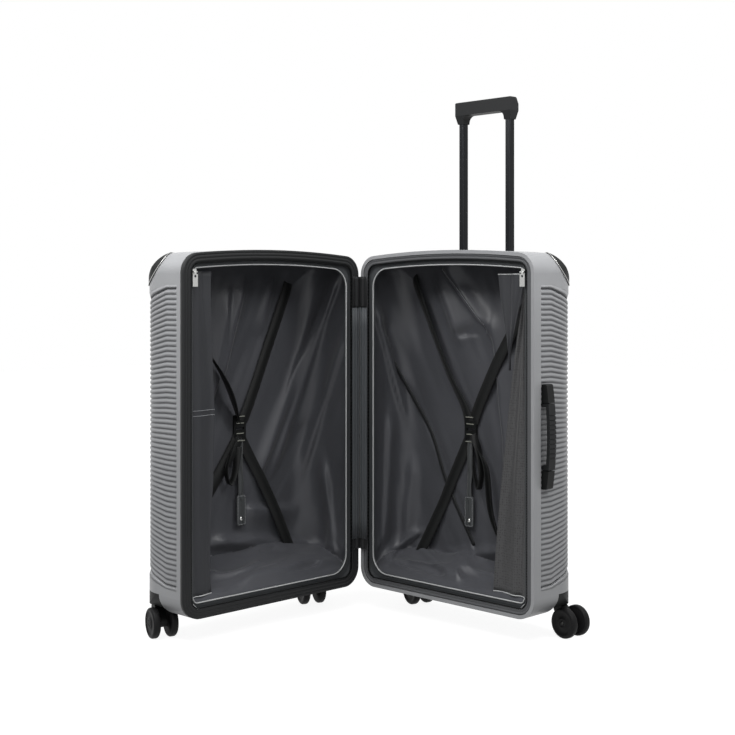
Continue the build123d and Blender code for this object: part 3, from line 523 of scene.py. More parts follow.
# %% Folds of the lining
CLOTH_INSET = 10.5 * MM
CORNER_ROUND = 60 * MM
FOLD_REACH = 17 * MM
FOLD_GAIN = 1.8
STEEP, GENTLE = 1.9, 0.85
RUN_OUT, RUN_IN = 0.25, 0.15
SLOW_RISE, QUICK_RISE, QUICK_SCALE = 5.5 * MM, 2.0 * MM, 2.7
SLOW_START = {"rear": 3.7, "front": 9.1}
PLEAT_RISE, PLEAT_NARROW, PLEAT_POWER = 17 * MM, 3.2, 1.4
PLEAT_LOW, PLEAT_HIGH = shell_bottom + 20 * MM, shell_bottom + 110 * MM
CALM_LEAST, CALM_DROP, CALM_FLAT = 0.25, 30 * MM, 0.6
CALM_NEAR, CALM_FAR = 25 * MM, 75 * MM
SEWN_DEPTH, FREE_DEPTH = 14 * MM, 45 * MM
strap_centre = (212 * MM, 389 * MM)
folds = {
    "front": [
        ((-80, 700), (40, 500), 17, 9), ((40, 500), (150, 300), 20, 9), ((-50, 640), (95, 330), 16, 7),
        ((-95, 560), (20, 300), 16, 7), ((20, 371), (120, 237), 17, -5), ((206, 694), (265, 500), 22, 7),
        ((250, 660), (300, 420), 18, 6), ((120, 700), (150, 600), 24, 5), ((-40, 300), (-70, 120), 20, 7),
        ((190, 213), (60, 200), 22, 6), ((72, 125), (280, 150), 16, 9), ((-60, 108), (180, 88), 13, 10),
    ],
    "rear": [
        ((-75, 640), (10, 420), 14, 8), ((-50, 600), (20, 520), 12, -4), ((14, 535), (105, 358), 9, -5),
        ((105, 358), (217, 147), 8, -4), ((120, 700), (176, 585), 26, 9), ((137, 735), (260, 600), 18, 9),
        ((176, 585), (250, 600), 12, -5), ((-30, 400), (-45, 150), 18, 6), ((38, 300), (20, 150), 24, 6),
        ((-43, 96), (60, 150), 10, 8), ((60, 120), (160, 90), 12, 8), ((154, 100), (300, 140), 16, 9),
        ((280, 600), (320, 300), 22, 6),
    ],
}


def ease(value, low, high):
    """Smooth step from 0 at low to 1 at high."""
    share = min(max((value - low) / (high - low), 0.0), 1.0)
    return share * share * (3 - 2 * share)


def fold_height(half, across, depth, height):
    """How far the cloth stands in from its smooth tray, in metres."""
    run = across - max(strap_depth[half] - depth, 0.0)
    total = 0.0
    for start, end, width, rise in folds[half]:
        ax, az = start[0] * MM, start[1] * MM
        bx, bz = end[0] * MM - ax, end[1] * MM - az
        along = ((run - ax) * bx + (height - az) * bz) / (bx * bx + bz * bz)
        off = ((run - ax) * bz - (height - az) * bx) / math.hypot(bx, bz) / (width * MM)
        off *= STEEP if off > 0 else GENTLE
        ends = ease(along, -RUN_OUT, RUN_IN) * (1 - ease(along, 1 - RUN_IN, 1 + RUN_OUT))
        total += FOLD_GAIN * rise * MM * ends * math.exp(-off * off)
    slant = Vector((run * 14 + height * 7, height * 2.2 - run * 3, SLOW_START[half]))
    total += SLOW_RISE * (0.35 + noise.noise(slant))
    total += QUICK_RISE * noise.noise(slant * QUICK_SCALE)
    heap = 1 - ease(height, PLEAT_LOW, PLEAT_HIGH)
    pile = Vector((across * 5 + depth * 4, (depth - height) * 40, 1.3))
    ridge = max(0.0, 1 - PLEAT_NARROW * abs(noise.noise(pile)))
    total += heap * PLEAT_RISE * ridge ** PLEAT_POWER
    near_strap = math.hypot(across - strap_centre[0], (height - strap_centre[1] + CALM_DROP) * CALM_FLAT)
    calm = CALM_LEAST + (1 - CALM_LEAST) * ease(near_strap, CALM_NEAR, CALM_FAR)
    sewn = ease(depth, SEWN_DEPTH, FREE_DEPTH)
    return max(min(total, FOLD_REACH), -1 * MM) * calm * sewn


# %% [markdown]
# At the foot the cloth is cut loose: it slopes from the back down to the mouth and hides the wheel housings.
# Close to the mouth it drops behind the frame, where it is sewn.

# %% Lining cloth
SLOPE_LOW, SLOPE_RISE, SLOPE_RUN = 84 * MM, 46 * MM, 134 * MM
SEAM_LOW, SEAM_DEPTH, SEAM_PITCH = 78 * MM, 11.8 * MM, 1.3
WALL_STEP, FLOOR_STEP, TURN_STEPS = 4.5 * MM, 4 * MM, 16
FOCUS_LOW, FOCUS_HIGH, FOCUS_OUT = 260 * MM, 600 * MM, 60 * MM
to_mouth = {half: place(half, 0, 0, 0) - place(half, 0, 1, 0) for half in ("front", "rear")}


def above_slope(depth, height):
    """Height of a cloth point, lifted to the slope at the foot of the case."""
    slope = SLOPE_LOW + SLOPE_RISE * min(max(depth - SEAM_DEPTH, 0.0) / SLOPE_RUN, 1.0)
    return max(height, min(slope, SEAM_LOW + SEAM_PITCH * (depth - SEAM_DEPTH)))


def tray_profile(floor_depth):
    """(inset, depth) steps from the piping down the wall, round the back corner and over the floor."""
    steps = [(29.5 * MM, SEAM_DEPTH), (24 * MM, 14 * MM), (17 * MM, 18 * MM), (12.5 * MM, 24 * MM)]
    turn_start = floor_depth - CORNER_ROUND
    depth = 30 * MM
    while depth < turn_start:
        steps.append((CLOTH_INSET, depth))
        depth += WALL_STEP
    for part in range(TURN_STEPS + 1):
        turn = math.pi / 2 * part / TURN_STEPS
        steps.append((CLOTH_INSET + CORNER_ROUND * (1 - math.cos(turn)),
                      turn_start + CORNER_ROUND * math.sin(turn)))
    inset = steps[-1][0]
    middle = case_width / 2 - CORNER_LEAST - 0.5 * MM
    rings = round((middle - inset) / FLOOR_STEP)
    for ring in range(1, rings + 1):
        steps.append((inset + (middle - inset) * ring / rings, floor_depth))
    return steps


def make_lining(half):
    floor_depth = strap_depth[half] + 0.3 * MM
    rows = []
    for inset, depth in tray_profile(floor_depth):
        soft = HINGE_ROUND * (1 - ease(depth, 14 * MM, 40 * MM))
        rows.append([(across, depth, above_slope(depth, height)) for across, height in rim_path(inset, soft)])
    rows.append([(case_width / 2, floor_depth, height) for across, depth, height in rows[-1]])
    flat = skin(half + "_lining_cloth", [[place(half, *p) for p in row] for row in rows], wrap_columns=True,
                flip=half == "rear")
    mesh = flat.data
    for index, (across, depth, height) in enumerate(p for row in rows for p in row):
        level = min(max(height, FOCUS_LOW), FOCUS_HIGH)
        inwards = place(half, case_width / 2, -FOCUS_OUT, level) - place(half, across, depth, height)
        mesh.vertices[index].co += inwards.normalized() * fold_height(half, across, depth, height)
    shell = bmesh.new()
    shell.from_mesh(mesh)
    bmesh.ops.remove_doubles(shell, verts=shell.verts, dist=0.1 * MM)
    bmesh.ops.dissolve_degenerate(shell, dist=0.05 * MM, edges=shell.edges)
    if sum(face.normal.dot(to_mouth[half]) for face in shell.faces) < 0:
        bmesh.ops.reverse_faces(shell, faces=shell.faces)
    shell.to_mesh(mesh)
    shell.free()
    area = sum(face.area for face in mesh.polygons)
    print(half, "lining area, square metres:", round(area, 3))
    return flat, area


for half in ("rear", "front"):
    lining, lining_area = make_lining(half)
    dress(lining, lining_satin, half, "lining_cloth", half + "_lining")

# %% [markdown]
# ## Bevelled edge of the ribbed belt
# The belt is moulded a few millimetres into the wall. Above and below the ribs its edge runs out in a bevel,
# which catches less light than the wall and draws the dark line over the ribs. The solid has a plain step
# there, so two sloping strips per half finish it. They follow the plan line of the wall: side, corner, back.

# %% Bevel round the belt
BELT_RECESS = 4 * MM
BACK_CORNER = 70 * MM
BELT_START = 22 * MM
BELT_CREASE = 57 * MM
RIB_LOW, RIB_HIGH = 114 * MM, 681 * MM
BEVEL = 8 * MM
RIB_FAN, EDGE_FAN = 32 * MM, 23 * MM
SIDE_STEPS, BACK_STEPS = 14, 12


def wall_line(inset, start):
    """Plan points (across, depth) of the wall, from one rim over the back to the other rim."""
    radius = BACK_CORNER - inset
    turn_depth = half_depth - BACK_CORNER
    sides = [start + (turn_depth - start) * step / SIDE_STEPS for step in range(SIDE_STEPS)]
    corner = [math.pi / 2 * step / BACK_STEPS for step in range(BACK_STEPS + 1)]
    first = [(inset, depth) for depth in sides]
    first += [(BACK_CORNER - radius * math.cos(a), turn_depth + radius * math.sin(a)) for a in corner]
    return first + [(case_width - across, depth) for across, depth in reversed(first)]


def fanned(height, fan, depth, side):
    """Height of a belt line: level to the crease, then sloping to the middle of the case."""
    share = max(depth - BELT_CREASE, 0.0) / (half_depth - BELT_CREASE)
    return height - side * fan * share


for half in ("rear", "front"):
    for side, rib_edge, name in ((1, RIB_HIGH, "upper"), (-1, RIB_LOW, "lower")):
        outer, inner = wall_line(0.02 * MM, BELT_START), wall_line(BELT_RECESS - 0.05 * MM, BELT_START)
        edge = [place(half, a, d, fanned(rib_edge + side * BEVEL, EDGE_FAN, d, side)) for a, d in outer]
        foot = [place(half, a, d, fanned(rib_edge, RIB_FAN, d, side)) for a, d in inner]
        root = [place(half, a, d, fanned(rib_edge + side * BEVEL, EDGE_FAN, d, side)) for a, d in inner]
        bevel = skin(f"{half}_belt_bevel_{name}", [edge, foot, root], wrap_rows=True,
                     flip=(half == "rear") != (side > 0))
        dress(bevel, silver, half, "shell")

# %% [markdown]
# ## Rounded ribs
# The solid has the ribs as plain grooves. On the moulding they are rounded, so that each one has a bright upper
# and a dark lower flank. This thin skin lies on the belt: level near the rim, then fanning to the middle of the
# back like the grooves below it, with a broad round crest and a narrow valley across each rib.

# %% Rib skin
RIBS = 57
RIB_POINTS = 8
RIB_RISE = 3.0 * MM
CREST_POWER, PAINTED_SHADE_POWER = 0.7, 1.7
RIB_START, RIB_FULL = BELT_START + 1 * MM, BELT_START + 6 * MM
belt_middle = (RIB_LOW + RIB_HIGH) / 2
for half in ("rear", "front"):
    flat_line = wall_line(BELT_RECESS - 0.1 * MM, RIB_START)
    raised_line = wall_line(BELT_RECESS - RIB_RISE, RIB_START)
    rows, deep = [], []
    for step in range(RIBS * RIB_POINTS + 1):
        level = RIB_LOW + (RIB_HIGH - RIB_LOW) * step / (RIBS * RIB_POINTS)
        fan = RIB_FAN * (level - belt_middle) / (RIB_HIGH - belt_middle)
        wave = abs(math.sin(math.pi * step / RIB_POINTS)) ** CREST_POWER
        row = []
        for (low_a, low_d), (high_a, high_d) in zip(flat_line, raised_line):
            swell = ease(low_d, RIB_START, RIB_FULL)
            rise = wave * swell
            across, depth = low_a + (high_a - low_a) * rise, low_d + (high_d - low_d) * rise
            row.append(place(half, across, depth, fanned(level, fan, depth, 1)))
            # Painted shade mask: how much of the dark valley colour this point takes.
            deep.append((1 - wave ** PAINTED_SHADE_POWER) * swell)
        rows.append(row)
    ribs = dress(skin(half + "_ribs", rows, flip=half == "rear"), silver, half, "shell")
    # The painted shade mask goes to the shell's finish as a point attribute.
    ribs.data.attributes.new("painted_groove_shade", "FLOAT", "POINT").data.foreach_set("value", deep)

# %% [markdown]
# ## Trim of the corner guards
# A thin bright bead closes the lower edge of each guard. That edge is flat, so the bead is found on the packed
# solid itself: of the points in the cut plane, the outermost ones in each direction make the line.

# %% Bright beads
BEAD_RADIUS, BEAD_LIFT, CUT_SLACK = 0.7 * MM, 0.4 * MM, 0.2 * MM
BEAD_STEPS = 72


def guard_edge(half, end):
    """Outer line of a guard's cut face, in even steps round it."""
    lean = (place(half, 1 if end == "outer" else -1, 1, 1) - place(half, 0, 0, 0)).normalized()
    points = [vertex.co.copy() for vertex in nodes[f"{half}_guard_{end}"].data.vertices]
    cut = min(point.dot(lean) for point in points)
    ring = [point for point in points if point.dot(lean) < cut + CUT_SLACK]
    middle = sum(ring, Vector()) / len(ring)
    first = lean.cross(Vector((0, 0, 1))).normalized()
    second = lean.cross(first)
    line = {}
    for point in ring:
        arm = point - middle
        turn = round(math.atan2(arm.dot(second), arm.dot(first)) / math.tau * BEAD_STEPS) % BEAD_STEPS
        if turn not in line or arm.length > (line[turn] - middle).length:
            line[turn] = point
    return [line[turn] + lean * BEAD_LIFT for turn in sorted(line)]


for half in ("rear", "front"):
    for end in ("outer", "hinge"):
        bead = tube(f"{half}_guard_bead_{end}", guard_edge(half, end), BEAD_RADIUS)
        dress(bead, nickel_plate, half, "shell")

# %% [markdown]
# ## Small things in rows
# Zip teeth and stitches are the same small piece again and again along a line, so one node tree makes both: it
# turns the line into points at an even pitch, sets a small block on each and turns it to the line.

# %% Pieces along a line
def row_tree():
    tree = bpy.data.node_groups.new("pieces along a line", "GeometryNodeTree")
    face = tree.interface
    ids = {"line": face.new_socket("Line", in_out="INPUT", socket_type="NodeSocketGeometry").identifier}
    for key, label, kind in (("pitch", "Pitch", "NodeSocketFloat"), ("size", "Size", "NodeSocketVector"),
                             ("material", "Material", "NodeSocketMaterial")):
        ids[key] = face.new_socket(label, in_out="INPUT", socket_type=kind).identifier
    face.new_socket("Pieces", in_out="OUTPUT", socket_type="NodeSocketGeometry")
    given = add(tree, "NodeGroupInput").outputs
    line = add(tree, "GeometryNodeMeshToCurve", links={"Mesh": given["Line"]})
    spots = add(tree, "GeometryNodeCurveToPoints", {"mode": "LENGTH"}, (),
                {"Curve": line.outputs["Curve"], "Length": given["Pitch"]})
    block = add(tree, "GeometryNodeMeshCube", links={"Size": given["Size"]})
    placed = add(tree, "GeometryNodeInstanceOnPoints", links={
        "Points": spots.outputs["Points"], "Instance": block.outputs["Mesh"],
        "Rotation": spots.outputs["Rotation"]})
    real = add(tree, "GeometryNodeRealizeInstances", links={"Geometry": placed.outputs["Instances"]})
    done = add(tree, "GeometryNodeSetMaterial", links={"Geometry": real.outputs["Geometry"],
                                                      "Material": given["Material"]})
    add(tree, "NodeGroupOutput", links={"Pieces": done.outputs["Geometry"]})
    return tree, ids


rows_of, row_inputs = row_tree()


def row_of_pieces(name, points, pitch, size, material, closed=False):
    """Mesh of small blocks along points; size is across, across and along the line."""
    line = bpy.data.meshes.new(name)
    edges = [(i, i + 1) for i in range(len(points) - 1)] + ([(len(points) - 1, 0)] if closed else [])
    line.from_pydata([tuple(p) for p in points], edges, [])
    maker = show(name + "_line", line)
    row = maker.modifiers.new("row", "NODES")
    row.node_group = rows_of
    row[row_inputs["pitch"]] = pitch
    row[row_inputs["size"]] = size
    row[row_inputs["material"]] = material
    made = bpy.data.meshes.new_from_object(maker.evaluated_get(bpy.context.evaluated_depsgraph_get()))
    bpy.data.objects.remove(maker)
    return show(name, made)


tooth_lines = {"front": (20.2 * MM, 2.2 * MM), "rear": (19.5 * MM, 3.4 * MM)}
TOOTH_PITCH = 3 * MM
TOOTH_SIZE = (3 * MM, 1.8 * MM, 1.7 * MM)
for half, (inset, depth) in tooth_lines.items():
    run = [place(half, a, depth, h) for a, h in rim_path(inset)]
    teeth = row_of_pieces(half + "_zip_teeth", run, TOOTH_PITCH, TOOTH_SIZE, pebbled_abs, closed=True)
    dress(teeth, pebbled_abs, half, "black_plastic")

# %% [markdown]
# ## Fabric hinge
# The halves are joined by a strip of ribbed cloth, folded into upright pleats so that it can open. Above and
# below it the zip tapes of both halves run together and cross the hinge line.

# %% Pleated strip and tape ends
STRIP_COLUMNS, STRIP_ROWS = 72, 12
STRIP_LOW, STRIP_HIGH = 150 * MM, 642 * MM


def hinge_cloth_strip(name, low, high, leg, stand_off, pleats, pleat_depth):
    """Strip from rear to front rim round the hinge line, with upright pleats."""
    columns = []
    for step in range(STRIP_COLUMNS + 1):
        share = step / STRIP_COLUMNS * 2 - 1
        if share < 0:
            base = Vector((hinge.x + stand_off + leg * -share, hinge.y - stand_off, 0))
            out = Vector((0, -1, 0))
        else:
            base = Vector((hinge.x + stand_off, hinge.y - stand_off - leg * share, 0))
            out = Vector((1, 0, 0))
        out = out.lerp(Vector((1, -1, 0)).normalized(), 1 - ease(abs(share), 0.0, 0.5)).normalized()
        wave = pleat_depth * (0.5 - 0.5 * math.cos(share * pleats * math.pi))
        columns.append(base + out * wave)
    rises = [Vector((0, 0, low + (high - low) * step / STRIP_ROWS)) for step in range(STRIP_ROWS + 1)]
    rows = [[column + rise for column in columns] for rise in rises]
    return skin(name, rows, thickness=0.8 * MM, flip=True)


for name, low, high, cloth, pleats, leg in (
    ("hinge_pleats", STRIP_LOW, STRIP_HIGH, hinge_cloth, 7, 25 * MM),
    ("hinge_tape_upper", STRIP_HIGH, 708 * MM, zip_weave, 3, 22 * MM),
    ("hinge_tape_lower", 128 * MM, STRIP_LOW, zip_weave, 3, 22 * MM),
):
    strip = hinge_cloth_strip(name, low, high, leg, 1.6 * MM, pleats, 3 * MM)
    strip.data.materials.append(cloth)
    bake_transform(strip)
    if name == "hinge_pleats":
        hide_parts("hinge_strip")
    print(strip.name, "faces:", len(strip.data.polygons))

# %% [markdown]
# ## Webbing
# In each half four arms of black webbing meet at a ladder buckle. Webbing is a flat band that lies on the
# cloth, so an arm is a line over the folds with a width. Where it is twisted, it turns about its own run.

# %% Bands of webbing
STRAP_WIDTH = 25 * MM
STRAP_THICKNESS = 1.3 * MM
BAND_STEPS = 10
LOOP_SHARE = 0.6


def spline(points, steps):
    """Smooth run through points of any number of values."""
    points = [points[0], *points, points[-1]]
    run = []
    for p, q, r, s in zip(points, points[1:], points[2:], points[3:]):
        for step in range(steps):
            t = step / steps
            run.append([0.5 * (2 * b + (c - a) * t + (2 * a - 5 * b + 4 * c - d) * t * t
                               + (3 * b - a - 3 * c + d) * t ** 3) for a, b, c, d in zip(p, q, r, s)])
    return run + [list(points[-1])]


def cloth_depth(half, across, height):
    """Depth of the lining's face under a strap, on the floor of the tray or in its rounded hinge corner."""
    floor_depth = strap_depth[half]
    short = min(max(CLOTH_INSET + CORNER_ROUND - across, 0.0), CORNER_ROUND)
    corner = CORNER_ROUND - math.sqrt(CORNER_ROUND ** 2 - short ** 2)
    return floor_depth - corner - fold_height(half, across, floor_depth, height)


def taut(depths, reach=4):
    """Depths of a strap that spans from fold to fold: the least depth nearby, evened out."""
    def near(values, index):
        return values[max(index - reach, 0):index + reach + 1]

    least = [min(near(depths, index)) for index in range(len(depths))]
    return [sum(near(least, index)) / len(near(least, index)) for index in range(len(depths))]


def band(name, half, points, width, thickness=STRAP_THICKNESS):
    """Band through (across mm, height mm, lift mm, turn degrees), lying on the cloth at that lift."""
    run = spline(points, BAND_STEPS)
    under = taut([cloth_depth(half, across * MM, height * MM) for across, height, lift, turn in run])
    line = []
    for (across, height, lift, turn), depth in zip(run, under):
        stand = lift * MM + width / 2 * abs(math.sin(math.radians(turn)))
        line.append(place(half, across * MM, depth - stand, height * MM))
    left, right = [], []
    for index, centre in enumerate(line):
        ahead = line[min(index + 1, len(line) - 1)] - line[max(index - 1, 0)]
        flat = ahead.cross(to_mouth[half]).normalized()
        lifted = flat.cross(ahead).normalized()
        turn = math.radians(run[index][3])
        side = (flat * math.cos(turn) + lifted * math.sin(turn)) * width / 2
        left.append(centre - side)
        right.append(centre + side)
    return skin(name, [left, [(a + b) / 2 for a, b in zip(left, right)], right], thickness=thickness)


arms = {
    "front": {
        "top_hinge": [(68, 712, -6, 0), (86, 672, 2, 0), (140, 548, 2, 0), (196, 422, 3, 0), (210, 400, 4, 0)],
        "top_outer": [(383, 680, 2, 0), (345, 600, 3, 50), (262, 478, 3, 78), (222, 405, 4, 60)],
        "bottom_hinge": [(66, 92, -6, 0), (84, 122, 2, 0), (140, 245, 2, 0), (196, 345, 3, 0), (210, 372, 4, 0)],
        "bottom_outer": [(381, 122, 2, 0), (300, 250, 2, 0), (232, 350, 3, 20), (216, 374, 4, 0)],
        "loop": [(220, 372, 6, 30), (243, 342, 7, 65), (256, 305, 6, 80), (248, 276, 6, 80), (234, 300, 7, 75),
                 (222, 352, 7, 40)],
    },
    "rear": {
        "top_hinge": [(48, 722, -4, -10), (76, 667, 2, -28), (119, 577, 3, -34), (156, 504, 3, -34),
                      (196, 440, 3, -22), (208, 404, 4, 0)],
        "top_outer": [(402, 710, -6, 0), (383, 680, 2, 0), (305, 556, 2, 0), (236, 438, 3, 0), (220, 404, 4, 0)],
        "bottom_hinge": [(66, 92, -6, 0), (84, 122, 2, 0), (140, 238, 2, 0), (192, 340, 3, 0), (208, 372, 4, 0)],
        "bottom_outer": [(330, 100, -4, 30), (279, 217, 3, 72), (263, 316, 3, 72), (232, 356, 3, 40),
                         (216, 374, 4, 0)],
        "loop": [(222, 380, 6, 30), (240, 350, 7, 70), (248, 300, 6, 84), (240, 268, 6, 84), (230, 300, 7, 75),
                 (222, 356, 7, 40)],
    },
}
for half, runs in arms.items():
    for name, points in runs.items():
        width = STRAP_WIDTH * LOOP_SHARE if name == "loop" else STRAP_WIDTH
        strap = band(f"{half}_webbing_{name}", half, points, width)
        dress(strap, webbing_weave, half, "webbing", *([half + "_straps"] if name == "top_hinge" else []))
        reach = [strap.data.vertices[i].co for i in range(len(strap.data.vertices) // 3)]
        length = sum((b - a).length for a, b in zip(reach, reach[1:]))
        print(strap.name, "length, mm:", round(length / MM))

# %% [markdown]
# The ladder buckle has black cross bars, drawn light grey as a painted highlight; the outer two stand off it,
# in front of the straps. On the rear lining a narrow dark tape runs slantwise down from the hinge wall, and a
# closed pocket shows as a line of light stitches.

# %% Buckle bars, lining tape and pocket seam
BAR_REACH, BAR_RADIUS = 10 * MM, 1.1 * MM
OUTER_STAND, INNER_STAND = 3.2 * MM, 0.2 * MM
bars = ((25.5, OUTER_STAND), (11, INNER_STAND), (-10.5, INNER_STAND), (-25.5, OUTER_STAND))
TAPE_WIDTH, TAPE_THICKNESS, TAPE_LIFT = 9 * MM, 0.6 * MM, 0.6
tape_line = ((12, 556), (20, 525), (67, 424), (105, 358), (145, 266), (217, 147))
POCKET_PITCH, POCKET_STITCH = 4 * MM, (1.1 * MM, 1.1 * MM, 2.6 * MM)
POCKET_STEPS, POCKET_LIFT = 16, 0.8 * MM
pocket_line = ((137, 729), (195, 672), (252, 609))
for half in ("front", "rear"):
    corners = [Vector(corner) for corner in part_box(half + "_buckle")]
    face = min((place(half, 0, 0, 0) - corner).dot(to_mouth[half]) for corner in corners)
    for number, (rise, stand) in enumerate(bars):
        height = strap_centre[1] + rise * MM
        depth = face - stand
        ends = [place(half, strap_centre[0] + reach, depth, height) for reach in (-BAR_REACH, BAR_REACH)]
        # Each bar is drawn light grey, a painted highlight on the black buckle.
        bar = tube(f"{half}_buckle_bar_{number}", ends, BAR_RADIUS, closed=False)
        dress(bar, painted_highlight_acetal, half, "black_plastic")
tape_run = [(across, height, TAPE_LIFT, 0) for across, height in tape_line]
tape = band("rear_lining_tape", "rear", tape_run, TAPE_WIDTH, TAPE_THICKNESS)
dress(tape, zip_weave, "rear", "webbing")
pocket = [place("rear", a * MM, cloth_depth("rear", a * MM, h * MM) - POCKET_LIFT, h * MM)
          for a, h in spline(pocket_line, POCKET_STEPS)]
pocket_seam = row_of_pieces("rear_pocket_seam", pocket, POCKET_PITCH, POCKET_STITCH, stitch_thread)
dress(pocket_seam, stitch_thread, "rear", "piping")

# %% [markdown]
# ## Strap tabs
# A short tab of coated cloth hangs from each buckle on a narrow strap. It has a stitched edge and a small stud.

# %% Tabs, stitches and studs
TAB_WIDTH, TAB_LOW, TAB_HIGH = 24 * MM, 186 * MM, 250 * MM
TAB_CORNER = 5 * MM
TAB_STAND, TAB_THICKNESS, TAB_ROUND = 9 * MM, 1.6 * MM, 0.3 * MM
TAB_EDGE, TAB_SEAM, TAB_MIDDLE = 0.6 * MM, 2.4 * MM, 11.8 * MM
STUD_STEPS, STUD_RISE, SEAM_LIFT = 20, 14 * MM, 0.5 * MM
TAB_PITCH, TAB_STITCH = 3.2 * MM, (0.7 * MM, 0.7 * MM, 2.1 * MM)
neck_run = [(212, 366, 7, 0), (214, 320, 8, 12), (213, 280, 8, -10), (212, 246, 8, 0)]
stud_section = [(0, 4.2), (0.7, 3.9), (1.2, 2.8), (1.4, 1.2), (1.45, 0.02)]


def tab_outline(across, inset, steps=6):
    """Rounded outline (across, height) of a tab, drawn in by inset."""
    half_width, corner = TAB_WIDTH / 2 - inset, max(TAB_CORNER - inset, 1 * MM)
    low, high = TAB_LOW + inset, TAB_HIGH - inset
    points = []
    for x, z, start in ((1, high, 0), (-1, high, 90), (-1, low, 180), (1, low, 270)):
        centre = (across + x * (half_width - corner), z + (-corner if z == high else corner))
        for step in range(steps + 1):
            turn = math.radians(start + 90 * step / steps)
            points.append((centre[0] + corner * math.cos(turn), centre[1] + corner * math.sin(turn)))
    return points


for half in ("front", "rear"):
    across = strap_centre[0]
    back_face = strap_depth[half] - TAB_STAND
    front_face = back_face - TAB_THICKNESS
    top_face = front_face - TAB_ROUND
    rings = []
    for inset, depth in ((TAB_MIDDLE, back_face), (0, back_face), (0, front_face), (TAB_EDGE, top_face),
                         (TAB_MIDDLE, top_face)):
        rings.append([place(half, a, depth, h) for a, h in tab_outline(across, inset)])
    tab = skin(half + "_tab", rings, wrap_columns=True, flip=half == "front")
    dress(tab, tab_cloth, half, "webbing", half + "_strap_tab")
    neck = band(half + "_tab_strap", half, neck_run, STRAP_WIDTH / 2)
    dress(neck, tab_cloth, half, "webbing")
    seam = [place(half, a, front_face - SEAM_LIFT, h) for a, h in tab_outline(across, TAB_SEAM)]
    stitches = row_of_pieces(half + "_tab_stitches", seam, TAB_PITCH, TAB_STITCH, stitch_thread, closed=True)
    dress(stitches, stitch_thread, half, "piping")
    stud_height = TAB_LOW + STUD_RISE
    turns = [step * math.tau / STUD_STEPS for step in range(STUD_STEPS)]
    dome = []
    for lift, radius in stud_section:
        dome.append([place(half, across + radius * MM * math.cos(t), top_face - lift * MM,
                           stud_height + radius * MM * math.sin(t)) for t in turns])
    stud = skin(half + "_tab_stud", dome, wrap_columns=True, flip=half == "front")
    dress(stud, nickel_plate, half, "steel")

# %% [markdown]
# ## Dividers
# Each half can be closed by a zipped cloth. Here both are unzipped and pushed to the outer side. The front one
# is a plain panel; the rear one is mesh, gathered in upright folds that widen to its foot, with a plain flap
# that hangs from its upper corner. A cloth is a set of level rows, each from its sewn to its loose edge, and
# its cut width is the length of its longest row.

# %% Gathered cloths
frame_start = 10.3 * MM
divider_edge = case_width - 31 * MM
DIVIDER_LOW, DIVIDER_HIGH = 90 * MM, 716 * MM
FLAP_LOW, FLAP_HIGH = 524 * MM, 710 * MM
DIVIDER_ROWS, DIVIDER_COLUMNS = 60, 80
LOOSE_DEPTH, SEWN_SHARE, SWAY_SHARE = 7 * MM, 0.12, 0.6
PANEL_WIDTH, PANEL_WANDER = 55, 9
MESH_TOP, MESH_SPREAD, MESH_CURVE = 4, 80, 1.25
FLAP_DRIFT, FLAP_TOP, FLAP_TAPER = 38, 71, 30


def hanging(name, half, low, high, edges, waves, swing, stand):
    """Cloth in upright folds; edges gives its two sides (across) at a height, the sewn one first."""
    rows = []
    for step in range(DIVIDER_ROWS + 1):
        height = low + (high - low) * step / DIVIDER_ROWS
        sewn, loose = edges(height)
        row = []
        for index in range(DIVIDER_COLUMNS + 1):
            share = index / DIVIDER_COLUMNS
            sway = noise.noise(Vector((share * 2.5, height * 5, waves)))
            wave = math.sin(share * waves * math.tau + 1.2 * sway + height * 3)
            deep = frame_start + stand + swing * (wave + SWAY_SHARE * sway) * ease(share, 0, SEWN_SHARE)
            row.append(place(half, sewn + (loose - sewn) * share, deep + LOOSE_DEPTH * share, height))
        rows.append(row)
    cloth = skin(name, rows, thickness=0.7 * MM, flip=half == "front")
    return cloth, rows


def front_edges(height):
    wander = noise.noise(Vector((0.4, 0.7, height * 9)))
    return divider_edge, divider_edge - (PANEL_WIDTH + PANEL_WANDER * wander) * MM


def rear_edges(height):
    rise = max(height - DIVIDER_LOW, 0.0) / (DIVIDER_HIGH - DIVIDER_LOW)
    return divider_edge, divider_edge - (MESH_TOP + MESH_SPREAD * (1 - rise ** MESH_CURVE)) * MM


def flap_edges(height):
    fall = ease(FLAP_HIGH - height, -20 * MM, FLAP_HIGH - FLAP_LOW)
    return divider_edge - FLAP_DRIFT * MM * fall, divider_edge - (FLAP_TOP - FLAP_TAPER * fall) * MM


panel, panel_rows = hanging("front_divider_cloth", "front", DIVIDER_LOW, DIVIDER_HIGH, front_edges,
                            1.4, 2 * MM, 5 * MM)
dress(panel, divider_cloth, "front", "divider_cloth", "front_divider")
mesh_panel, mesh_rows = hanging("rear_divider_mesh", "rear", DIVIDER_LOW, DIVIDER_HIGH, rear_edges,
                                1.6, 4 * MM, 6 * MM)
dress(mesh_panel, mesh_knit, "rear", "divider_cloth", "rear_divider")
flap, flap_rows = hanging("rear_divider_flap", "rear", FLAP_LOW, FLAP_HIGH, flap_edges, 1.6, 3 * MM, 2 * MM)
dress(flap, divider_cloth, "rear", "divider_cloth")

# %% [markdown]
# Light thread and piping finish the cloths: two seams across the front panel, a piped edge on the flap and on
# the foot of both dividers. A short light line crosses the lower outer corner of each frame.

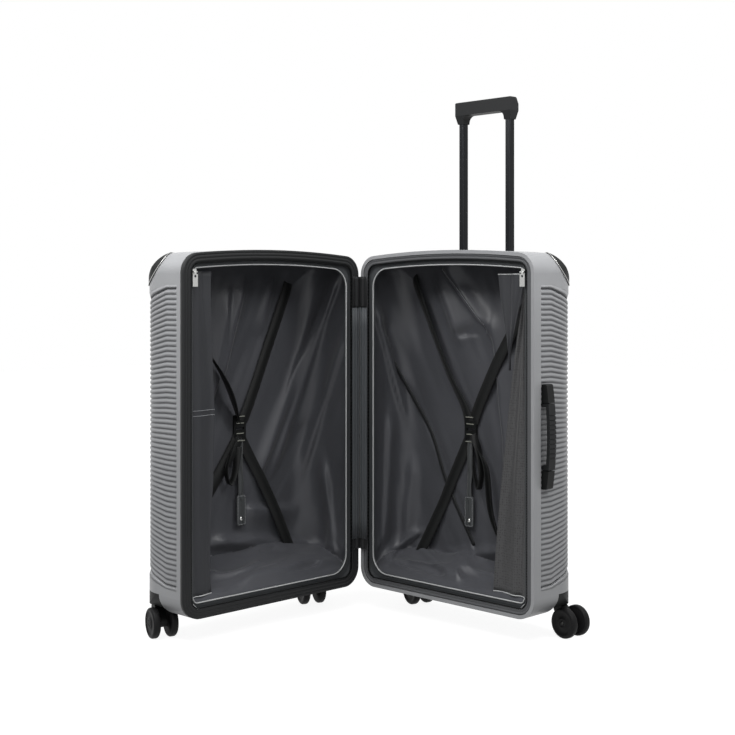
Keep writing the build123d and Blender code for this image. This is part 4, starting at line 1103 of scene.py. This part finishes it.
# %% Seams and edges of the dividers
seam_heights = (437 * MM, 447 * MM)
DIVIDER_PITCH, DIVIDER_STITCH = 3 * MM, (0.8 * MM, 0.8 * MM, 2.3 * MM)
HEM_RADIUS, MITRE_RADIUS, MITRE_DEPTH = 1.1 * MM, 0.8 * MM, 7.4 * MM
mitre_run = [(437, 80), (430, 73), (424, 67)]
for number, height in enumerate(seam_heights):
    row = min(panel_rows, key=lambda points: abs(points[0].z - height))
    run = [Vector((p.x, p.y, height)) + to_mouth["front"] * 0.9 * MM for p in row[6:-2]]
    seam = row_of_pieces(f"front_divider_seam_{number}", run, DIVIDER_PITCH, DIVIDER_STITCH, stitch_thread)
    dress(seam, stitch_thread, "front", "piping")
hems = (("rear", "flap", flap_rows[-1]), ("rear", "foot", mesh_rows[0]), ("front", "foot", panel_rows[0]))
for half, name, row in hems:
    run = [p + to_mouth[half] * 0.6 * MM for p in row]
    hem = tube(f"{half}_divider_hem_{name}", run, HEM_RADIUS, closed=False)
    dress(hem, piping_cord, half, "piping")
for half in ("front", "rear"):
    mitre = [place(half, a * MM, MITRE_DEPTH, h * MM) for a, h in mitre_run]
    dress(tube(half + "_frame_mitre", mitre, MITRE_RADIUS, closed=False), piping_cord, half, "piping")

# %% [markdown]
# ## Zip pulls
# Each divider zip has a flat plated pull: a plain plate, stamped with one round eye, whose narrow neck turns on
# the pin of its slider. The plate lies in the plane of that pin, so it clears the other half in a shut case.

# %% Plates with an eye
PULL_WIDTH, NECK_WIDTH, PULL_THICKNESS = 12 * MM, 4.4 * MM, 1.4 * MM
EYE_RADIUS, EYE_DROP, SHOULDER, NECK_TOP = 2.4 * MM, 8 * MM, 3.6 * MM, 9.2 * MM
EDGE_STEPS = 10


def plate_outline(foot):
    """Points of a plate's edge about its eye, anticlockwise from the right."""
    wide, neck = PULL_WIDTH / 2, NECK_WIDTH / 2
    corners = [(wide, 0), (wide, SHOULDER), (neck, SHOULDER), (neck, NECK_TOP), (-neck, NECK_TOP),
               (-neck, SHOULDER), (-wide, SHOULDER), (-wide, foot), (wide, foot), (wide, 0)]
    points = []
    for (ax, az), (bx, bz) in zip(corners, corners[1:]):
        for step in range(EDGE_STEPS):
            points.append((ax + (bx - ax) * step / EDGE_STEPS, az + (bz - az) * step / EDGE_STEPS))
    return points


for half in ("front", "rear"):
    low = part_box(half + "_divider_pull")[0]
    sideways = place(half, 1, 0, 0) - place(half, 0, 0, 0)
    eye = Vector(joints[half + "_pull_swing"]["pos_m"]) - Vector((0, 0, EYE_DROP))
    edge = plate_outline(low.z - eye.z)
    turns = [math.atan2(up, across) for across, up in edge]
    rings = [
        [eye + sideways * EYE_RADIUS * math.cos(t) + Vector((0, 0, EYE_RADIUS * math.sin(t))) for t in turns],
        [eye + sideways * across + Vector((0, 0, up)) for across, up in edge],
    ]
    plate = skin(half + "_pull_plate", rings, wrap_columns=True, thickness=PULL_THICKNESS, flip=half == "rear")
    plate.data.shade_flat()
    dress(plate, nickel_plate, half + "_pull", "steel", half + "_divider_pull")

# %% [markdown]
# ## Wheels
# Each caster carries two cast wheels. A wheel is a turned form: a rounded tread, a shallow dish on its outer
# face, a raised boss and a small ring round the axle. It is one half section, turned about the axle.

# %% Turned wheels
WHEEL_RADIUS, WHEEL_WIDTH, WHEEL_SPACING = 30, 15, 36
TREAD_ROUND, TREAD_STEPS = 5, 8
WHEEL_STEPS = 64


def wheel_section():
    """(radius, distance outwards from the wheel's middle) in mm, from the inner to the outer face."""
    half_width = WHEEL_WIDTH / 2
    points = [(3.2, -half_width), (25, -half_width)]
    rim, side = WHEEL_RADIUS - TREAD_ROUND, half_width - TREAD_ROUND
    quarter = math.pi / 2
    turns = [(quarter * step / TREAD_STEPS - quarter, -side) for step in range(TREAD_STEPS + 1)]
    turns += [(quarter * step / TREAD_STEPS, side) for step in range(1, TREAD_STEPS + 1)]
    for turn, middle in turns:
        points.append((rim + TREAD_ROUND * math.cos(turn), middle + TREAD_ROUND * math.sin(turn)))
    points += [(22.5, half_width), (21.8, half_width - 1.2), (11, half_width - 1.6), (10, half_width - 0.2),
               (6.6, half_width), (6.2, half_width - 0.8), (5, half_width - 0.8), (4.6, half_width),
               (0.05, half_width)]
    return points


def make_wheels(caster):
    low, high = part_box(caster + "_wheels")
    hub = (low + high) / 2
    axle = Vector(joints[caster + "_roll"]["axis"]).normalized()
    up = Vector((0, 0, 1))
    fore = axle.cross(up)
    turns = [step * math.tau / WHEEL_STEPS for step in range(WHEEL_STEPS)]
    spokes = [up * math.cos(t) + fore * math.sin(t) for t in turns]
    pieces = []
    for side in (1, -1):
        centre = hub + axle * side * WHEEL_SPACING / 2 * MM
        rows = []
        for radius, out in wheel_section():
            rows.append([centre + axle * side * out * MM + spoke * radius * MM for spoke in spokes])
        pieces.append(skin(f"{caster}_wheel_{side}", rows, wrap_columns=True))
    wheels = bmesh.new()
    for piece in pieces:
        wheels.from_mesh(piece.data)
        bpy.data.objects.remove(piece)
    bmesh.ops.recalc_face_normals(wheels, faces=wheels.faces)
    mesh = bpy.data.meshes.new(caster + "_cast_wheels")
    wheels.to_mesh(mesh)
    wheels.free()
    return show(caster + "_cast_wheels", mesh)


for caster in ("rear_outer", "rear_hinge", "front_outer", "front_hinge"):
    dress(make_wheels(caster), cast_polyurethane, caster + "_wheels", "wheel_rubber", caster + "_wheels")

# %% [markdown]
# ## Camera, light and floor
# The photograph was taken level, from a little below the case's top, with the horizon above the middle of the
# picture. A vertical shift does the same here and keeps the upright lines upright.

# %% Camera
photo_size = 735
focal_px = 1322
camera_centre_px = 290.3
sensor_mm = 36
from_hinge = (2.0115, -1.9879)
camera_height = 0.679
camera = show("camera", bpy.data.cameras.new("camera"))
camera.data.sensor_width = sensor_mm
camera.data.lens = sensor_mm * focal_px / photo_size
camera.data.shift_y = (camera_centre_px - photo_size / 2) / photo_size
camera.location = (hinge.x + from_hinge[0], hinge.y + from_hinge[1], camera_height)
camera.rotation_euler = (math.pi / 2, 0, math.pi / 4)
camera.data.clip_end = 20
scene.camera = camera
print("lens, mm:", round(camera.data.lens, 2))

# %% [markdown]
# Four soft lamps light the case. The world is white where the camera or a reflection sees it, but gives only a
# dim light. The paper floor glows in the same way, a little more with distance, so that it meets the backdrop.

# %% Lamps, world and floor
def soft_lamp(name, location, target, size, power):
    lamp = show(name, bpy.data.lights.new(name, "AREA"))
    lamp.data.shape = "RECTANGLE"
    lamp.data.size, lamp.data.size_y = size
    lamp.data.energy = power
    lamp.visible_camera = False
    lamp.location = location
    lamp.rotation_euler = (Vector(target) - Vector(location)).to_track_quat("-Z", "Y").to_euler()


soft_lamp("top_softbox", (0.6, -0.9, 2.6), (0, 0, 0.45), (1.6, 1.6), 52)
soft_lamp("left_softbox", (-0.45, -0.95, 1.4), (-0.25, -0.33, 0.6), (0.6, 0.3), 11)
soft_lamp("right_softbox", (0.95, 0.35, 1.4), (0.32, 0.25, 0.6), (0.3, 0.6), 11)
soft_lamp("front_softbox", (1.5, -1.7, 1.2), (-0.1, 0.1, 0.4), (1.6, 1.4), 12)

ROOM_LIGHT = 0.16
FLOOR_REACH = 8.0
world = bpy.data.worlds.new("white studio")
scene.world = world
world.use_nodes = True
sky = world.node_tree
sky.nodes.clear()
ray = add(sky, "ShaderNodeLightPath").outputs
direct = combine(sky, "MAXIMUM", ray["Is Camera Ray"], ray["Is Transmission Ray"])
seen = combine(sky, "MAXIMUM", direct, ray["Is Glossy Ray"])
backdrop = add(sky, "ShaderNodeBackground", values={"Color": (1, 1, 1, 1)},
               links={"Strength": between(sky, seen, ROOM_LIGHT, 1.0)})
add(sky, "ShaderNodeOutputWorld", links={"Surface": backdrop.outputs["Background"]})

floor_mesh = bpy.data.meshes.new("studio_floor")
floor_corners = [(x * FLOOR_REACH, y * FLOOR_REACH, 0) for x, y in ((-1, -1), (1, -1), (1, 1), (-1, 1))]
floor_mesh.from_pydata(floor_corners, [], [(0, 1, 2, 3)])
studio_floor = show("studio_floor", floor_mesh)
paper, paper_tree, paper_shader = start_finish(
    "white background paper", Base_Color=linear("#808080"), Roughness=0.9, Emission_Color=(1, 1, 1, 1),
)
paper_ray = add(paper_tree, "ShaderNodeLightPath").outputs
lit = combine(paper_tree, "MAXIMUM", paper_ray["Is Camera Ray"], paper_ray["Is Glossy Ray"])
away = add(paper_tree, "ShaderNodeVectorMath", {"operation": "LENGTH"}, (),
           {0: add(paper_tree, "ShaderNodeTexCoord").outputs["Object"]})
level = add(paper_tree, "ShaderNodeMapRange", links={"Value": away.outputs["Value"]},
            values={"From Min": 1.0, "From Max": 4.0, "To Min": 0.9, "To Max": 0.965})
feed(paper_tree, paper_shader, Emission_Strength=combine(paper_tree, "MULTIPLY", lit, level.outputs["Result"]))
studio_floor.data.materials.append(paper)
scene.view_settings.view_transform = "Standard"

# %% [markdown]

# %% End of the scene
print("scene built")
